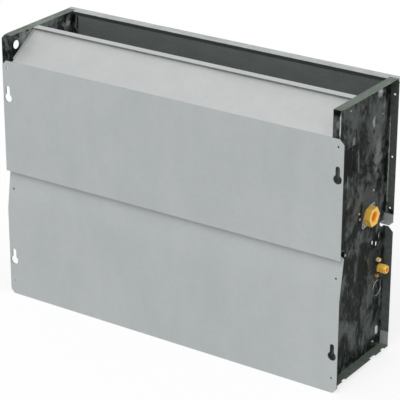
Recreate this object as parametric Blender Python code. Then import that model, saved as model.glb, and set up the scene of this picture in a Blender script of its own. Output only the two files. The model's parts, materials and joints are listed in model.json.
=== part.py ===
"""Concealed vertical fan coil unit: wall-hung chassis with coil, double fan, drain pan and slide-out filter.

Axes: X runs along the wall, Y runs from the wall (0) into the room, Z is up with 0 under the base flange.
Sizes are millimetres until they reach the mesh.
"""

import math

import bmesh
import bpy
from mathutils import Vector

MM = 0.001

# Sheet and fits
SHEET = 1.0
SEAT = 0.3
RUN_FIT = 0.1

# Motor
MOTOR_R = 44.0
MOTOR_HALF_LENGTH = 36.0
MOTOR_BELL = 16.0
MOTOR_RIM = 1.5
MOTOR_RIM_WIDTH = 6.0
MOTOR_BOSS_R = 13.0
CUSHION_R = 21.0
CUSHION_START = MOTOR_HALF_LENGTH + MOTOR_BELL + 3.0
CUSHION_LENGTH = 9.0
MOTOR_BOSS_END = CUSHION_START + CUSHION_LENGTH + 2.0
SHAFT_R = 4.0
SHAFT_END = 4.0

# Wheels and scrolls
WHEEL_R = 60.0
WHEEL_RIM = 10.5
WHEEL_INNER_R = WHEEL_R - WHEEL_RIM
WHEEL_RING = 2.2
WHEEL_DISC = 1.8
WHEEL_BLADES = 26
BLADE_INLET_R = WHEEL_INNER_R + 0.9
BLADE_OUTLET_R = WHEEL_R - 0.6
BLADE_LEAN = 8.0
BLADE_THICKNESS = 0.9
HUB_R = 10.0
HUB_HALF_LENGTH = 11.0
SCROLL_WALL = 1.5
SCROLL_HALF_WIDTH = 98.0
SCROLL_TIP_GAP = 4.0
SCROLL_START_R = WHEEL_R + SCROLL_TIP_GAP
SCROLL_GROWTH = 10.5
SCROLL_END_R = SCROLL_START_R + SCROLL_GROWTH
SCROLL_CUTOFF = 12.0
SCROLL_LAST = 270.0
SCROLL_ROOM_R = SCROLL_START_R + SCROLL_GROWTH * (90 - SCROLL_CUTOFF) / (SCROLL_LAST - SCROLL_CUTOFF)
SCROLL_MOUTH_LEAN = 6.0
WHEEL_END_GAP = 5.5
WHEEL_HALF_LENGTH = SCROLL_HALF_WIDTH - SCROLL_WALL - WHEEL_END_GAP
INLET_R = WHEEL_INNER_R + 2.5
INLET_RING = 5.0
MOTOR_END_GAP = 21.0
FAN_X = MOTOR_BOSS_END + MOTOR_END_GAP + SCROLL_HALF_WIDTH

# Fan deck
DECK_Z = 175.0
DECK_APRON = 23.0
DECK_TAB = 14.0
SCROLL_WALL_GAP = 4.2
APRON_GAP = 1.5
FAN_DROP = 80.0
FAN_Y = SHEET + SEAT + SCROLL_WALL_GAP + SCROLL_END_R
FAN_Z = DECK_Z - FAN_DROP

# Motor cradle and straps
CRADLE_ARM = 3.0
CRADLE_HALF_DEPTH = 38.0
CRADLE_BASE = 3.0
STRAP = 2.5
STRAP_WIDTH = 7.0
STRAP_EAR = 12.0

# Drain pan
PAN_WALL_Y = FAN_Y + SCROLL_ROOM_R + APRON_GAP + SHEET + SEAT
PAN_DEPTH = 59.0
PAN_ROOM_GAP = 2.0
PAN_RIM_DROP = 25.0
PAN_RIM = DECK_Z - PAN_RIM_DROP
PAN_HEIGHT = 34.0
PAN_FLOOR = PAN_RIM - PAN_HEIGHT
PAN_SLOPE = 3.0
PAN_CHAMFER = 4.0
PAN_WALL = 1.2

# Casing
OVERALL_WIDTH = 790.0
FRONT_FLANGE = 24.4
REAR_FLANGE = 20.0
TOP_FLANGE = 18.0
HEIGHT = 560.0
DEPTH = PAN_WALL_Y + PAN_DEPTH + PAN_ROOM_GAP
SIDE_X = OVERALL_WIDTH / 2 - FRONT_FLANGE
INNER_X = SIDE_X - SHEET - SEAT
REAR_X = SIDE_X + REAR_FLANGE
CORNER_CUT = 8.5
SPIGOT_X = INNER_X - 39.3
SPIGOT_Y = DEPTH - 25.0
SPIGOT_R = 10.0
SPIGOT_STEM_R = SPIGOT_R - 1.5
SPIGOT_BORE_R = SPIGOT_R - 2.8
SPIGOT_DROP = 24.0

# Wall-side panels
OUTLET_DROP = 54.2
UPPER_PANEL_TOP = HEIGHT - OUTLET_DROP
UPPER_PANEL_BOTTOM = 266.7
LOWER_PANEL_SLANT = 83.7
LOWER_PANEL_BEND = UPPER_PANEL_BOTTOM - LOWER_PANEL_SLANT
LOWER_PANEL_SETBACK = 12.5
LOWER_PANEL_DROP = 10.7
LOWER_PANEL_LIP = 16.0
PANEL_CORNER = (9.5, 10.0)

# Keyholes and panel screws
KEYHOLE_INSET = FRONT_FLANGE / 2 + 0.3
KEYHOLE_TOPS = (UPPER_PANEL_TOP - 53.3, 92.5)
KEYHOLE_HEIGHT = 35.0
KEYHOLE_HEAD_R = 9.2
KEYHOLE_SLOT_R = 4.8
PANEL_SCREW_R = 2.2
PANEL_SCREW_HEIGHTS = (UPPER_PANEL_TOP - 15.4, UPPER_PANEL_BOTTOM + 12.8, UPPER_PANEL_BOTTOM - 40.7, 20.5)

# Side sheet openings, as (depth, height, radius) or (depth, height, width, tall)
CORNER_HOLE = (15.6, HEIGHT - 21.7, 9.0)
SIDE_HOLES = (
    (62.0, HEIGHT - 22.0, 4.0),
    (DEPTH - 29.0, 17.0, 3.2),
)
SIDE_SLOTS = (
    (83.0, HEIGHT - 129.0, 15.0, 43.0),
    (DEPTH - 45.0, 236.0, 5.0, 9.0),
    (DEPTH - 30.0, 229.0, 5.0, 10.0),
    (DEPTH - 15.0, 37.0, 10.0, 19.0),
    (DEPTH - 15.5, 218.0, 3.6, 20.0),
)
EMBOSSED_BAR = (77.5, HEIGHT - 89.0, 11.0, 32.0)
KNOCKOUT = (DEPTH - 21.0, 131.0, 17.0)
KNOCKOUT_BAND = 2.2
EMBOSS_HEIGHT = 1.0
REAR_HOLE_HEIGHTS = (HEIGHT - 32.2, HEIGHT - 158.2, 296.2)
REAR_HOLE_OUT = 11.5
REAR_HOLE_R = 2.6
BASE_HOLE_OUT = 14.3
BASE_HOLES = ((64.0, 3.0), (DEPTH - 86.0, 3.0), (DEPTH - 45.0, 3.0))
BASE_NOTCHES = ((32.0, 44.0), (DEPTH - 69.0, DEPTH - 50.0), (DEPTH - 26.0, DEPTH - 14.0))
BASE_NOTCH_DEPTH = 6.0
REAR_NOTCH = (DEPTH - 17.5, 257.0, 284.0)
REAR_NOTCH_LEAD = 6.5
REAR_NOTCH_RISE = 16.5
REAR_NOTCH_CORNER = 10.5
FOOT_NOTCH_TOP = 31.0

# Room-side panel, lining and rails
ROOM_PANEL_BOTTOM = 266.0
ROOM_PANEL_RETURN = 15.5
ROOM_FLANGE = 11.7
ROOM_REACH = REAR_X - 1.0
LINING = 8.0
EDGE_STRIP_LEG = 7.0
BASE_RAIL_HEIGHT = 44.0
BASE_RAIL_LIP = 12.0

# Discharge baffle
BAFFLE_CREASE_Y = 87.5
BAFFLE_LIP = 17.0
BAFFLE_TAB = 22.0

# Coil, in its own tilted frame: X along the tubes, Y through the rows, Z up the slope
COIL_TILT = math.radians(19.0)
TUBE_PITCH = 22.0
ROW_PITCH = 19.05
TUBES_PER_ROW = 8
TUBE_R = 4.76
COIL_BAY = 54.6
FIN_HALF_LENGTH = SIDE_X - COIL_BAY
FIN_PITCH = 21.0
FIN_GROOVE = 9.0
FIN_GROOVE_DEPTH = 3.0
END_PLATE = 1.5
END_PLATE_EDGE = 3.0
PLATE_HALF_DEPTH = ROW_PITCH + END_PLATE_EDGE
PLATE_HALF_HEIGHT = TUBES_PER_ROW * TUBE_PITCH / 2 + END_PLATE_EDGE + 1.0
COIL_ROOM_GAP = 3.2
COIL_PAN_GAP = 25.7
COIL_REACH = PLATE_HALF_DEPTH * math.cos(COIL_TILT) + PLATE_HALF_HEIGHT * math.sin(COIL_TILT)
COIL_DROP = PLATE_HALF_DEPTH * math.sin(COIL_TILT) + PLATE_HALF_HEIGHT * math.cos(COIL_TILT)
COIL_Y = DEPTH - COIL_ROOM_GAP - COIL_REACH
COIL_Z = PAN_FLOOR + COIL_PAN_GAP + COIL_DROP
TUBE_HOLE_GAP = 0.35
BEND_START = 7.0
WIDE_BEND_CORNER = 10.0
WIDE_BEND_REACH = COIL_BAY - TUBE_R - WIDE_BEND_CORNER - 7.8

# Headers, connections and valves
HEADER_SETBACK = 25.6
HEADER_X = SIDE_X - HEADER_SETBACK
HEADER_R = 9.0
HEADER_SPAN = 2 * TUBE_PITCH + 8.0
CONNECTION_NECK_R = 11.0
UPPER_HEX = 35.3
UPPER_HEX_TURN = -17.0
UPPER_HEX_LENGTH = 12.8
UPPER_BORE_R = 10.5
UPPER_BORE_DEPTH = 11.0
UPPER_BORE_LEAD = 1.2
LOWER_HEX = 17.0
LOWER_HEX_TURN = 8.0
LOWER_HEX_OUT = 19.5
LOWER_END_OUT = 23.5
LOWER_END_R = 8.0
LOWER_NECK_R = 6.5
LOWER_BORE_R = 5.2
LOWER_BORE_DEPTH = 12.0
LOCK_PLATE = 1.2
LOCK_PLATE_R = 19.0
LOCK_EAR = (25.0, 5.0)
LOCK_EAR_HOLE_R = 2.5
LOCK_EAR_TURN = 21.0
UPPER_HOLE_R = 17.0
LOWER_PORT = (
    (-10.0, -26.0), (13.0, -26.0), (13.0, 28.0), (-3.5, 28.0),
    (-3.5, 44.0), (-31.0, 44.0), (-35.0, 0.0), (-10.0, 0.0),
)
VALVE_R = 4.6
VALVE_BORE_R = 2.6
VALVE_BORE_DEPTH = 11.0
VENT_STEP = HEADER_SPAN / 2 - VALVE_R
VENT_OUT = 8.0
DRAIN_STEP = -17.7
DRAIN_ASIDE = -5.0
DRAIN_OUT = 0.0
SPINDLE_HEAD_R = 3.8
SPINDLE_HEAD = 3.2
SPINDLE_SLOT = 1.4

# Filter and its guides
FILTER_TOP = -1.6
FILTER_THICKNESS = 7.5
FILTER_FRONT_Y = 4.0
FILTER_REAR_Y = DEPTH - 5.0
FILTER_SIDE_GAP = 1.3
FILTER_BORDER = 12.0
FILTER_BAR = 6.0
FILTER_BAR_HEIGHT = 1.7
FILTER_BARS = 5
FILTER_TAB = (60.0, 8.0)
FILTER_TAB_SHEET = 1.6
PLEAT_PITCH = 18.0
PLEAT_SHEET = 0.9
GUIDE_LIP = 19.3
GUIDE_FLANGE = 15.4
GUIDE_INNER_X = INNER_X - GUIDE_LIP
GUIDE_OUTER_X = SIDE_X + GUIDE_FLANGE

# Terminals on the left
TERMINAL_DROP = 40.0
TERMINAL_TALL = 148.0
TERMINAL_PLATE = (112.0, 166.0, HEIGHT - TERMINAL_DROP - TERMINAL_TALL, HEIGHT - TERMINAL_DROP)
TERMINAL_PLATE_SHEET = 1.5
TERMINAL_MARGIN = (10.0, 16.0)
TERMINAL_BLOCK_OUT = 15.0
TERMINAL_WAYS = 8
GROMMET = (60.0, 225.0, 8.0)
GROMMET_FLANGE = 2.5
GROMMET_BORE_R = 4.5


def clear_scene():
    for obj in list(bpy.data.objects):
        bpy.data.objects.remove(obj, do_unlink=True)


def signed_area(points):
    pairs = zip(points, points[1:] + points[:1])
    return sum(a[0] * b[1] - b[0] * a[1] for a, b in pairs) / 2


def offset_path(points, distance, closed=False):
    """Moves a polyline sideways to its left by a distance, with mitred corners."""
    count = len(points)
    moved = []
    for i, (x, y) in enumerate(points):
        normals = []
        for j, k in ((i - 1, i), (i, i + 1)):
            if closed or (j >= 0 and k < count):
                ax, ay = points[j % count]
                bx, by = points[k % count]
                length = math.hypot(bx - ax, by - ay)
                normals.append(((ay - by) / length, (bx - ax) / length))
        (nx, ny), (mx, my) = normals[0], normals[-1]
        scale = distance / (1 + nx * mx + ny * my)
        moved.append((x + (nx + mx) * scale, y + (ny + my) * scale))
    return moved


def ribbon(points, thickness):
    """Closed outline of a folded sheet whose right-hand face follows the given polyline."""
    return points + offset_path(points, thickness)[::-1]


def inset(points, distance):
    """Shrinks a closed outline by a distance."""
    side = 1 if signed_area(points) > 0 else -1
    return offset_path(points, distance * side, closed=True)


def arc(centre, radius, start, end, steps):
    """Points on an arc; angles are in degrees."""
    turn = [math.radians(start + (end - start) * i / steps) for i in range(steps + 1)]
    return [(centre[0] + radius * math.cos(a), centre[1] + radius * math.sin(a)) for a in turn]


def circle(centre, radius, steps=24):
    return arc(centre, radius, 0, 360, steps)[:-1]


def obround(centre, width, height, steps=8):
    radius = width / 2
    rise = height / 2 - radius
    top = arc((centre[0], centre[1] + rise), radius, 0, 180, steps)
    return top + arc((centre[0], centre[1] - rise), radius, 180, 360, steps)


def keyhole(centre_x, top):
    """Hanging hole: a narrow slot above a round hole that a screw head passes."""
    low = top - KEYHOLE_HEIGHT + KEYHOLE_HEAD_R
    half = math.degrees(math.asin(KEYHOLE_SLOT_R / KEYHOLE_HEAD_R))
    slot = arc((centre_x, top - KEYHOLE_SLOT_R), KEYHOLE_SLOT_R, 0, 180, 5)
    return slot + arc((centre_x, low), KEYHOLE_HEAD_R, 90 + half, 450 - half, 12)


def hexagon(across_flats, turn=0.0):
    radius = across_flats / 2 / math.cos(math.pi / 6)
    return [
        (radius * math.cos(math.radians(turn + 60 * i)), radius * math.sin(math.radians(turn + 60 * i)))
        for i in range(6)
    ]


class Form:
    """Collects closed shells, in millimetres, and turns them into one object."""

    PLACE = {
        "X": lambda u, v, w: (w, u, v),
        "Y": lambda u, v, w: (u, w, v),
        "Z": lambda u, v, w: (u, v, w),
    }

    def __init__(self):
        self.bm = bmesh.new()

    def prism(self, axis, outline, low, high):
        """Extrudes an outline along an axis. The outline runs in the other two axes, in X, Y, Z order."""
        place = self.PLACE[axis]
        verts = [self.bm.verts.new(Vector(place(u, v, low)) * MM) for u, v in outline]
        face = self.bm.faces.new(verts)
        grown = bmesh.ops.extrude_face_region(self.bm, geom=[face])["geom"]
        shift = Vector(place(0, 0, high - low)) * MM
        tops = [item for item in grown if isinstance(item, bmesh.types.BMVert)]
        bmesh.ops.translate(self.bm, verts=tops, vec=shift)
        return self

    def box(self, low, high):
        x0, y0, z0 = low
        x1, y1, z1 = high
        return self.prism("Z", [(x0, y0), (x1, y0), (x1, y1), (x0, y1)], z0, z1)

    def lathe(self, profile, steps=32, centre=(0.0, 0.0), closed=True):
        """Revolves (x, radius) points about the X axis through a centre; an open profile ends on it."""
        y, z = centre
        verts = [self.bm.verts.new(Vector((x, y, z + r)) * MM) for x, r in profile]
        pairs = list(zip(verts, verts[1:])) + ([(verts[-1], verts[0])] if closed else [])
        edges = [self.bm.edges.new(pair) for pair in pairs]
        known = set(self.bm.verts) - set(verts)
        bmesh.ops.spin(
            self.bm,
            geom=verts + edges,
            cent=Vector((0, y, z)) * MM,
            axis=(1, 0, 0),
            angle=math.tau,
            steps=steps,
            use_merge=True,
        )
        made = [vert for vert in self.bm.verts if vert not in known]
        bmesh.ops.remove_doubles(self.bm, verts=made, dist=1e-7)
        return self

    def mesh(self, name):
        bmesh.ops.recalc_face_normals(self.bm, faces=self.bm.faces)
        data = bpy.data.meshes.new(name)
        self.bm.to_mesh(data)
        self.bm.free()
        return data

    def make(self, name, finish, smooth=False, parent=None, at=(0.0, 0.0, 0.0)):
        """Makes the named piece with its own material."""
        data = self.mesh(name)
        if smooth:
            data.shade_smooth()
            data.set_sharp_from_angle(angle=math.radians(32))
        obj = bpy.data.objects.new(name, data)
        bpy.context.scene.collection.objects.link(obj)
        obj.location = Vector(at) * MM
        obj.parent = parent
        obj.data.materials.append(material(name, finish))
        return obj

    def tool(self, name, parent=None, at=(0.0, 0.0, 0.0)):
        """Makes a hidden helper that cuts or adds to a piece."""
        obj = bpy.data.objects.new(name, self.mesh(name))
        bpy.context.scene.collection.objects.link(obj)
        obj.location = Vector(at) * MM
        obj.parent = parent
        obj.hide_render = True
        obj.display_type = "WIRE"
        return obj


# Finish name: base colour, metallic, roughness
FINISHES = {
    "dark_zinc": ((0.13, 0.14, 0.14, 1), 0.85, 0.45),
    "zinc": ((0.42, 0.44, 0.44, 1), 0.8, 0.4),
    "bright_zinc": ((0.56, 0.58, 0.58, 1), 0.7, 0.35),
    "foam": ((0.03, 0.03, 0.033, 1), 0.0, 0.95),
    "aluminium": ((0.75, 0.76, 0.77, 1), 1.0, 0.35),
    "copper": ((0.72, 0.33, 0.18, 1), 1.0, 0.3),
    "brass": ((0.72, 0.5, 0.18, 1), 1.0, 0.28),
    "steel": ((0.5, 0.5, 0.5, 1), 1.0, 0.3),
    "black_paint": ((0.02, 0.02, 0.022, 1), 0.0, 0.5),
    "rubber": ((0.018, 0.018, 0.018, 1), 0.0, 0.8),
    "dark_plastic": ((0.05, 0.05, 0.055, 1), 0.0, 0.45),
    "pale_plastic": ((0.72, 0.72, 0.7, 1), 0.0, 0.5),
    "media": ((0.62, 0.66, 0.68, 1), 0.0, 0.9),
}


def material(name, finish):
    colour, metallic, roughness = FINISHES[finish]
    made = bpy.data.materials.new(name)
    made.use_nodes = True
    shader = made.node_tree.nodes["Principled BSDF"]
    shader.inputs["Base Color"].default_value = colour
    shader.inputs["Metallic"].default_value = metallic
    shader.inputs["Roughness"].default_value = roughness
    made.diffuse_color = colour
    return made


def combine(obj, tool, operation="DIFFERENCE"):
    modifier = obj.modifiers.new(tool.name, "BOOLEAN")
    modifier.operation = operation
    modifier.solver = "EXACT"
    modifier.object = tool


def lower_panel_face():
    """Outer face of the lower wall panel, bottom to top, as (depth, height)."""
    return [
        (0.0, -LOWER_PANEL_DROP),
        (0.0, LOWER_PANEL_BEND),
        (LOWER_PANEL_SETBACK, UPPER_PANEL_BOTTOM),
        (LOWER_PANEL_SETBACK, UPPER_PANEL_BOTTOM + LOWER_PANEL_LIP),
    ]


def side_outline():
    """Outline of a side tray: its wall edge follows the two wall panels."""
    gap = SHEET + SEAT
    edge = offset_path(lower_panel_face(), -gap)
    step = edge[-1][1] + SEAT
    low = [(gap, 0.0), edge[1], edge[2], (edge[-1][0], step), (gap, step)]
    return low + [(gap, HEIGHT), (DEPTH, HEIGHT), (DEPTH, 0.0)]


def span(side, low, high):
    """X limits on one side, lowest first; side is -1 for left and 1 for right."""
    return (low, high) if side > 0 else (-high, -low)


def side_panel(name, side):
    """Side tray with all four flanges turned outward, its holes, slots and notches."""
    body = Form().prism("X", side_outline(), *span(side, SIDE_X - SHEET, SIDE_X + FRONT_FLANGE))
    obj = body.make(name, "dark_zinc")

    hollow = Form().prism("X", inset(side_outline(), SHEET), *span(side, SIDE_X, SIDE_X + 2 * FRONT_FLANGE))
    combine(obj, hollow.tool(f"{name}_hollow"))

    trims = Form()
    far = SIDE_X + 2 * FRONT_FLANGE
    edge = [
        (6, -6), (DEPTH + 6, -6), (DEPTH + 6, HEIGHT - 8),
        (DEPTH - 6, HEIGHT - 8), (DEPTH - 6, 6), (6, 6),
    ]
    trims.prism("X", edge, *span(side, REAR_X, far))
    x0, x1 = span(side, SIDE_X + TOP_FLANGE, far)
    trims.box((x0, CORNER_CUT, HEIGHT - 6), (x1, DEPTH + 6, HEIGHT + 6))
    combine(obj, trims.tool(f"{name}_trims"))

    corner = Form()
    out = side * (SIDE_X + FRONT_FLANGE)
    foot = (out, HEIGHT - CORNER_CUT)
    if side > 0:
        foot = (out - CORNER_CUT, UPPER_PANEL_TOP - PANEL_CORNER[1])
    cut = [(out - side * CORNER_CUT, HEIGHT + 1), (out + side, HEIGHT + 1), (out + side, foot[1]), foot]
    corner.prism("Y", cut, -2, CORNER_CUT)
    shoulder = side * REAR_X
    low = REAR_NOTCH[1]
    triangle = [
        (shoulder - side * (REAR_NOTCH_CORNER - 0.5), low - 0.5),
        (shoulder + side, low - 0.5),
        (shoulder + side, low - REAR_NOTCH_CORNER - 0.5),
    ]
    corner.prism("Y", triangle, DEPTH - 4, DEPTH + 4)
    combine(obj, corner.tool(f"{name}_corner"))

    notches = Form()
    x0, x1 = span(side, REAR_X - BASE_NOTCH_DEPTH, far)
    for near, away in BASE_NOTCHES:
        notches.box((x0, near, -3), (x1, away, 4))
    x0, x1 = span(side, SIDE_X - 5, far)
    near, low, high = REAR_NOTCH
    cut = [
        (near, low + REAR_NOTCH_LEAD), (near, high - REAR_NOTCH_RISE), (DEPTH - SHEET, high),
        (DEPTH + 5, high), (DEPTH + 5, low), (near + REAR_NOTCH_LEAD, low),
    ]
    notches.prism("X", cut, x0, x1)
    x0, x1 = span(side, SIDE_X + 1.5, far)
    notches.box((x0, DEPTH - 3, SHEET + 0.5), (x1, DEPTH + 3, FOOT_NOTCH_TOP))
    combine(obj, notches.tool(f"{name}_notches"))

    holes = Form()
    sheet = span(side, SIDE_X - SHEET - 2, SIDE_X + 2)
    for depth, height, radius in (CORNER_HOLE,) + SIDE_HOLES:
        holes.prism("X", circle((depth, height), radius, 8 if radius < 6 else 16), *sheet)
    for depth, height, width, tall in SIDE_SLOTS:
        holes.prism("X", obround((depth, height), width, tall, 3), *sheet)
    for top in KEYHOLE_TOPS:
        holes.prism("Y", keyhole(side * (SIDE_X + KEYHOLE_INSET), top), -1, 4)
    for height in PANEL_SCREW_HEIGHTS[:1] + PANEL_SCREW_HEIGHTS[3:]:
        holes.prism("Y", circle((side * (SIDE_X + KEYHOLE_INSET), height), PANEL_SCREW_R, 8), -1, 4)
    out = side * (SIDE_X + REAR_HOLE_OUT)
    for height in REAR_HOLE_HEIGHTS:
        holes.prism("Y", circle((out, height), REAR_HOLE_R, 8), DEPTH - 3, DEPTH + 3)
    for depth, radius in BASE_HOLES:
        holes.prism("Z", circle((side * (SIDE_X + BASE_HOLE_OUT), depth), radius, 8), -2, 3)
    combine(obj, holes.tool(f"{name}_holes"))
    return obj


def connection_point(direction):
    """Centre of a pipe connection in the coil frame: direction is 1 for the upper and -1 for the lower."""
    return (ROW_PITCH / 2, direction * (TUBES_PER_ROW / 2 - 1) * TUBE_PITCH)


def coil_to_world(across, along):
    """(depth, height) of a point given through the rows and up the slope."""
    cos, sin = math.cos(COIL_TILT), math.sin(COIL_TILT)
    return (COIL_Y + across * cos - along * sin, COIL_Z + across * sin + along * cos)


def casing():
    left = side_panel("left_side_panel", -1)
    right = side_panel("right_side_panel", 1)

    ports = Form()
    upper = coil_to_world(*connection_point(1))
    lower = coil_to_world(*connection_point(-1))
    ports.prism("X", circle(upper, UPPER_HOLE_R, 24), SIDE_X - 3, SIDE_X + 3)
    cut = [(lower[0] + y, lower[1] + z) for y, z in LOWER_PORT]
    ports.prism("X", cut, SIDE_X - 3, SIDE_X + 3)
    combine(right, ports.tool("right_side_panel_ports"))

    wires = Form().prism("X", circle(GROMMET[:2], GROMMET[2], 16), -SIDE_X - 3, -SIDE_X + 3)
    combine(left, wires.tool("left_side_panel_wires"))

    for obj, side in ((left, -1), (right, 1)):
        raised = Form()
        low, high = span(side, SIDE_X - SHEET / 2, SIDE_X + EMBOSS_HEIGHT)
        depth, height, width, tall = EMBOSSED_BAR
        raised.prism("X", obround((depth, height), width, tall, 4), low, high)
        depth, height, radius = KNOCKOUT
        ring = [
            (low, radius - KNOCKOUT_BAND), (high, radius - KNOCKOUT_BAND),
            (high, radius), (low, radius),
        ]
        raised.lathe(ring, 20, (depth, height))
        combine(obj, raised.tool(f"{obj.name}_raised"), "UNION")

    half = OVERALL_WIDTH / 2
    cut_x, cut_z = PANEL_CORNER
    outline = [
        (-half, UPPER_PANEL_BOTTOM), (half, UPPER_PANEL_BOTTOM),
        (half, UPPER_PANEL_TOP - cut_z), (half - cut_x, UPPER_PANEL_TOP),
        (cut_x - half, UPPER_PANEL_TOP), (-half, UPPER_PANEL_TOP - cut_z),
    ]
    panel = Form().prism("Y", outline, 0, SHEET).make("upper_wall_panel", "bright_zinc")
    combine(panel, panel_holes(KEYHOLE_TOPS[0], PANEL_SCREW_HEIGHTS[:1]).tool("upper_wall_panel_holes"))

    fold = ribbon(lower_panel_face(), -SHEET)
    panel = Form().prism("X", fold, -half, half).make("lower_wall_panel", "bright_zinc")
    holes = panel_holes(KEYHOLE_TOPS[1], PANEL_SCREW_HEIGHTS[2:])
    for side in (-1, 1):
        out = side * half
        corner = [
            (out - side * cut_x, -LOWER_PANEL_DROP - 1),
            (out + side, -LOWER_PANEL_DROP - 1),
            (out + side, cut_z - LOWER_PANEL_DROP),
        ]
        holes.prism("Y", corner, -2, 3)
    combine(panel, holes.tool("lower_wall_panel_holes"))
    return left, right


def panel_holes(keyhole_top, screw_heights):
    holes = Form()
    for side in (-1, 1):
        x = side * (SIDE_X + KEYHOLE_INSET)
        holes.prism("Y", keyhole(x, keyhole_top), -2, 3)
        for height in screw_heights:
            holes.prism("Y", circle((x, height), PANEL_SCREW_R, 8), -2, 2 * LOWER_PANEL_SETBACK)
    return holes


def room_side():
    """Insulated panel, its lining and edge strip, and the rail across the foot of the open bay."""
    back = DEPTH + SEAT
    fold = [
        (back - ROOM_PANEL_RETURN, ROOM_PANEL_BOTTOM),
        (back + SHEET, ROOM_PANEL_BOTTOM),
        (back + SHEET, HEIGHT - SHEET),
        (back + ROOM_FLANGE, HEIGHT - SHEET),
    ]
    panel = Form().prism("X", ribbon(fold, SHEET), -ROOM_REACH, ROOM_REACH).make("room_side_panel", "zinc")
    holes = Form()
    for side in (-1, 1):
        out = side * (SIDE_X + REAR_HOLE_OUT)
        for height in REAR_HOLE_HEIGHTS:
            holes.prism("Y", circle((out, height), REAR_HOLE_R, 8), DEPTH - 1, DEPTH + 4)
        x0, x1 = span(side, INNER_X, ROOM_REACH + 2)
        low = (x0, back - ROOM_PANEL_RETURN - 1, ROOM_PANEL_BOTTOM - 1)
        holes.box(low, (x1, back - SEAT / 2, ROOM_PANEL_BOTTOM + 2))
    combine(panel, holes.tool("room_side_panel_holes"))

    face = back - SEAT - LINING
    floor = ROOM_PANEL_BOTTOM + SHEET + SEAT
    lining = Form().box((-INNER_X, face, floor), (INNER_X, back - SEAT, HEIGHT - SHEET - SEAT))
    lining.make("room_panel_lining", "foam")

    corner = [
        (back - SEAT, HEIGHT),
        (face - SEAT - SHEET, HEIGHT),
        (face - SEAT - SHEET, HEIGHT - EDGE_STRIP_LEG),
    ]
    strip = Form().prism("X", ribbon(corner, SHEET), -INNER_X, INNER_X)
    strip.make("lining_edge_strip", "zinc")

    fold = [
        (back - BASE_RAIL_LIP, BASE_RAIL_HEIGHT),
        (back, BASE_RAIL_HEIGHT),
        (back, 0.0),
    ]
    rail = Form().prism("X", ribbon(fold, SHEET), -ROOM_REACH, ROOM_REACH).make("base_rail", "zinc")
    ends = Form()
    for side in (-1, 1):
        x0, x1 = span(side, INNER_X, ROOM_REACH + 2)
        low = (x0, back - BASE_RAIL_LIP - 1, BASE_RAIL_HEIGHT - 2)
        ends.box(low, (x1, back - SEAT / 2, BASE_RAIL_HEIGHT + 2))
    combine(rail, ends.tool("base_rail_ends"))


def discharge_baffle():
    """Sloped sheet that turns the air into the room, with its lip folded back over the slope."""
    gap = SHEET + SEAT
    crease = (BAFFLE_CREASE_Y, HEIGHT - SEAT)
    fold = [
        (gap + SHEET, UPPER_PANEL_TOP - BAFFLE_TAB),
        (gap + SHEET, UPPER_PANEL_TOP),
        crease,
        (BAFFLE_CREASE_Y - BAFFLE_LIP, HEIGHT - SEAT),
    ]
    Form().prism("X", ribbon(fold, SHEET), -INNER_X, INNER_X).make("discharge_baffle", "bright_zinc")


def tube_heights():
    middle = (TUBES_PER_ROW - 1) / 2
    return [(i - middle) * TUBE_PITCH for i in range(TUBES_PER_ROW)]


def coil(frame):
    half_s = TUBES_PER_ROW * TUBE_PITCH / 2
    half_n = ROW_PITCH
    count = round(2 * FIN_HALF_LENGTH / FIN_PITCH)
    pitch = (2 * FIN_HALF_LENGTH + FIN_GROOVE) / count
    fin = pitch - FIN_GROOVE
    front = []
    for i in range(count):
        x = i * pitch - FIN_HALF_LENGTH
        front += [(x, -half_n), (x + fin, -half_n)]
        front += [(x + fin, FIN_GROOVE_DEPTH - half_n), (x + pitch, FIN_GROOVE_DEPTH - half_n)]
    front[-2:] = []
    back = [(x, -n) for x, n in front[::-1]]
    Form().prism("Z", front + back, -half_s, half_s).make("coil_fin_pack", "aluminium", parent=frame)

    for name, side in (("left", -1), ("right", 1)):
        plate_coil_end(name, side, frame)

    start = FIN_HALF_LENGTH + SEAT
    for i, along in enumerate(tube_heights(), 1):
        reach = start + BEND_START
        ends = ((-ROW_PITCH / 2, along), (ROW_PITCH / 2, along))
        bend(f"left_return_bend_{i}", -1, start, reach, ends, ROW_PITCH / 2, frame)
    rows = {"a": -ROW_PITCH / 2, "b": ROW_PITCH / 2}
    links = (("a", 1, 4), ("a", 2, 3), ("b", 3, 6), ("b", 4, 5), ("a", 5, 8), ("a", 6, 7))
    heights = tube_heights()
    for row, first, last in links:
        wide = last - first > 1
        reach = start + (WIDE_BEND_REACH if wide else BEND_START)
        corner = WIDE_BEND_CORNER if wide else TUBE_PITCH / 2
        ends = ((rows[row], heights[first - 1]), (rows[row], heights[last - 1]))
        bend(f"right_return_bend_{row}{first}_{row}{last}", 1, start, reach, ends, corner, frame)


def plate_coil_end(name, side, frame):
    """End plate with its tube holes and the flange that closes the bay out to the side tray."""
    near = FIN_HALF_LENGTH + SEAT
    corner = [
        (side * near, PLATE_HALF_DEPTH),
        (side * near, -PLATE_HALF_DEPTH),
        (side * (INNER_X - PAN_WALL - SEAT), -PLATE_HALF_DEPTH),
    ]
    body = Form().prism("Z", ribbon(corner, side * END_PLATE), -PLATE_HALF_HEIGHT, PLATE_HALF_HEIGHT)
    obj = body.make(f"{name}_coil_end_plate", "zinc", parent=frame)
    holes = Form()
    for along in tube_heights():
        for across in (-ROW_PITCH / 2, ROW_PITCH / 2):
            low, high = span(side, near - 3, near + END_PLATE + 3)
            holes.prism("X", circle((across, along), TUBE_R + TUBE_HOLE_GAP, 8), low, high)
    combine(obj, holes.tool(f"{name}_coil_end_plate_holes", parent=frame))


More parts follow.
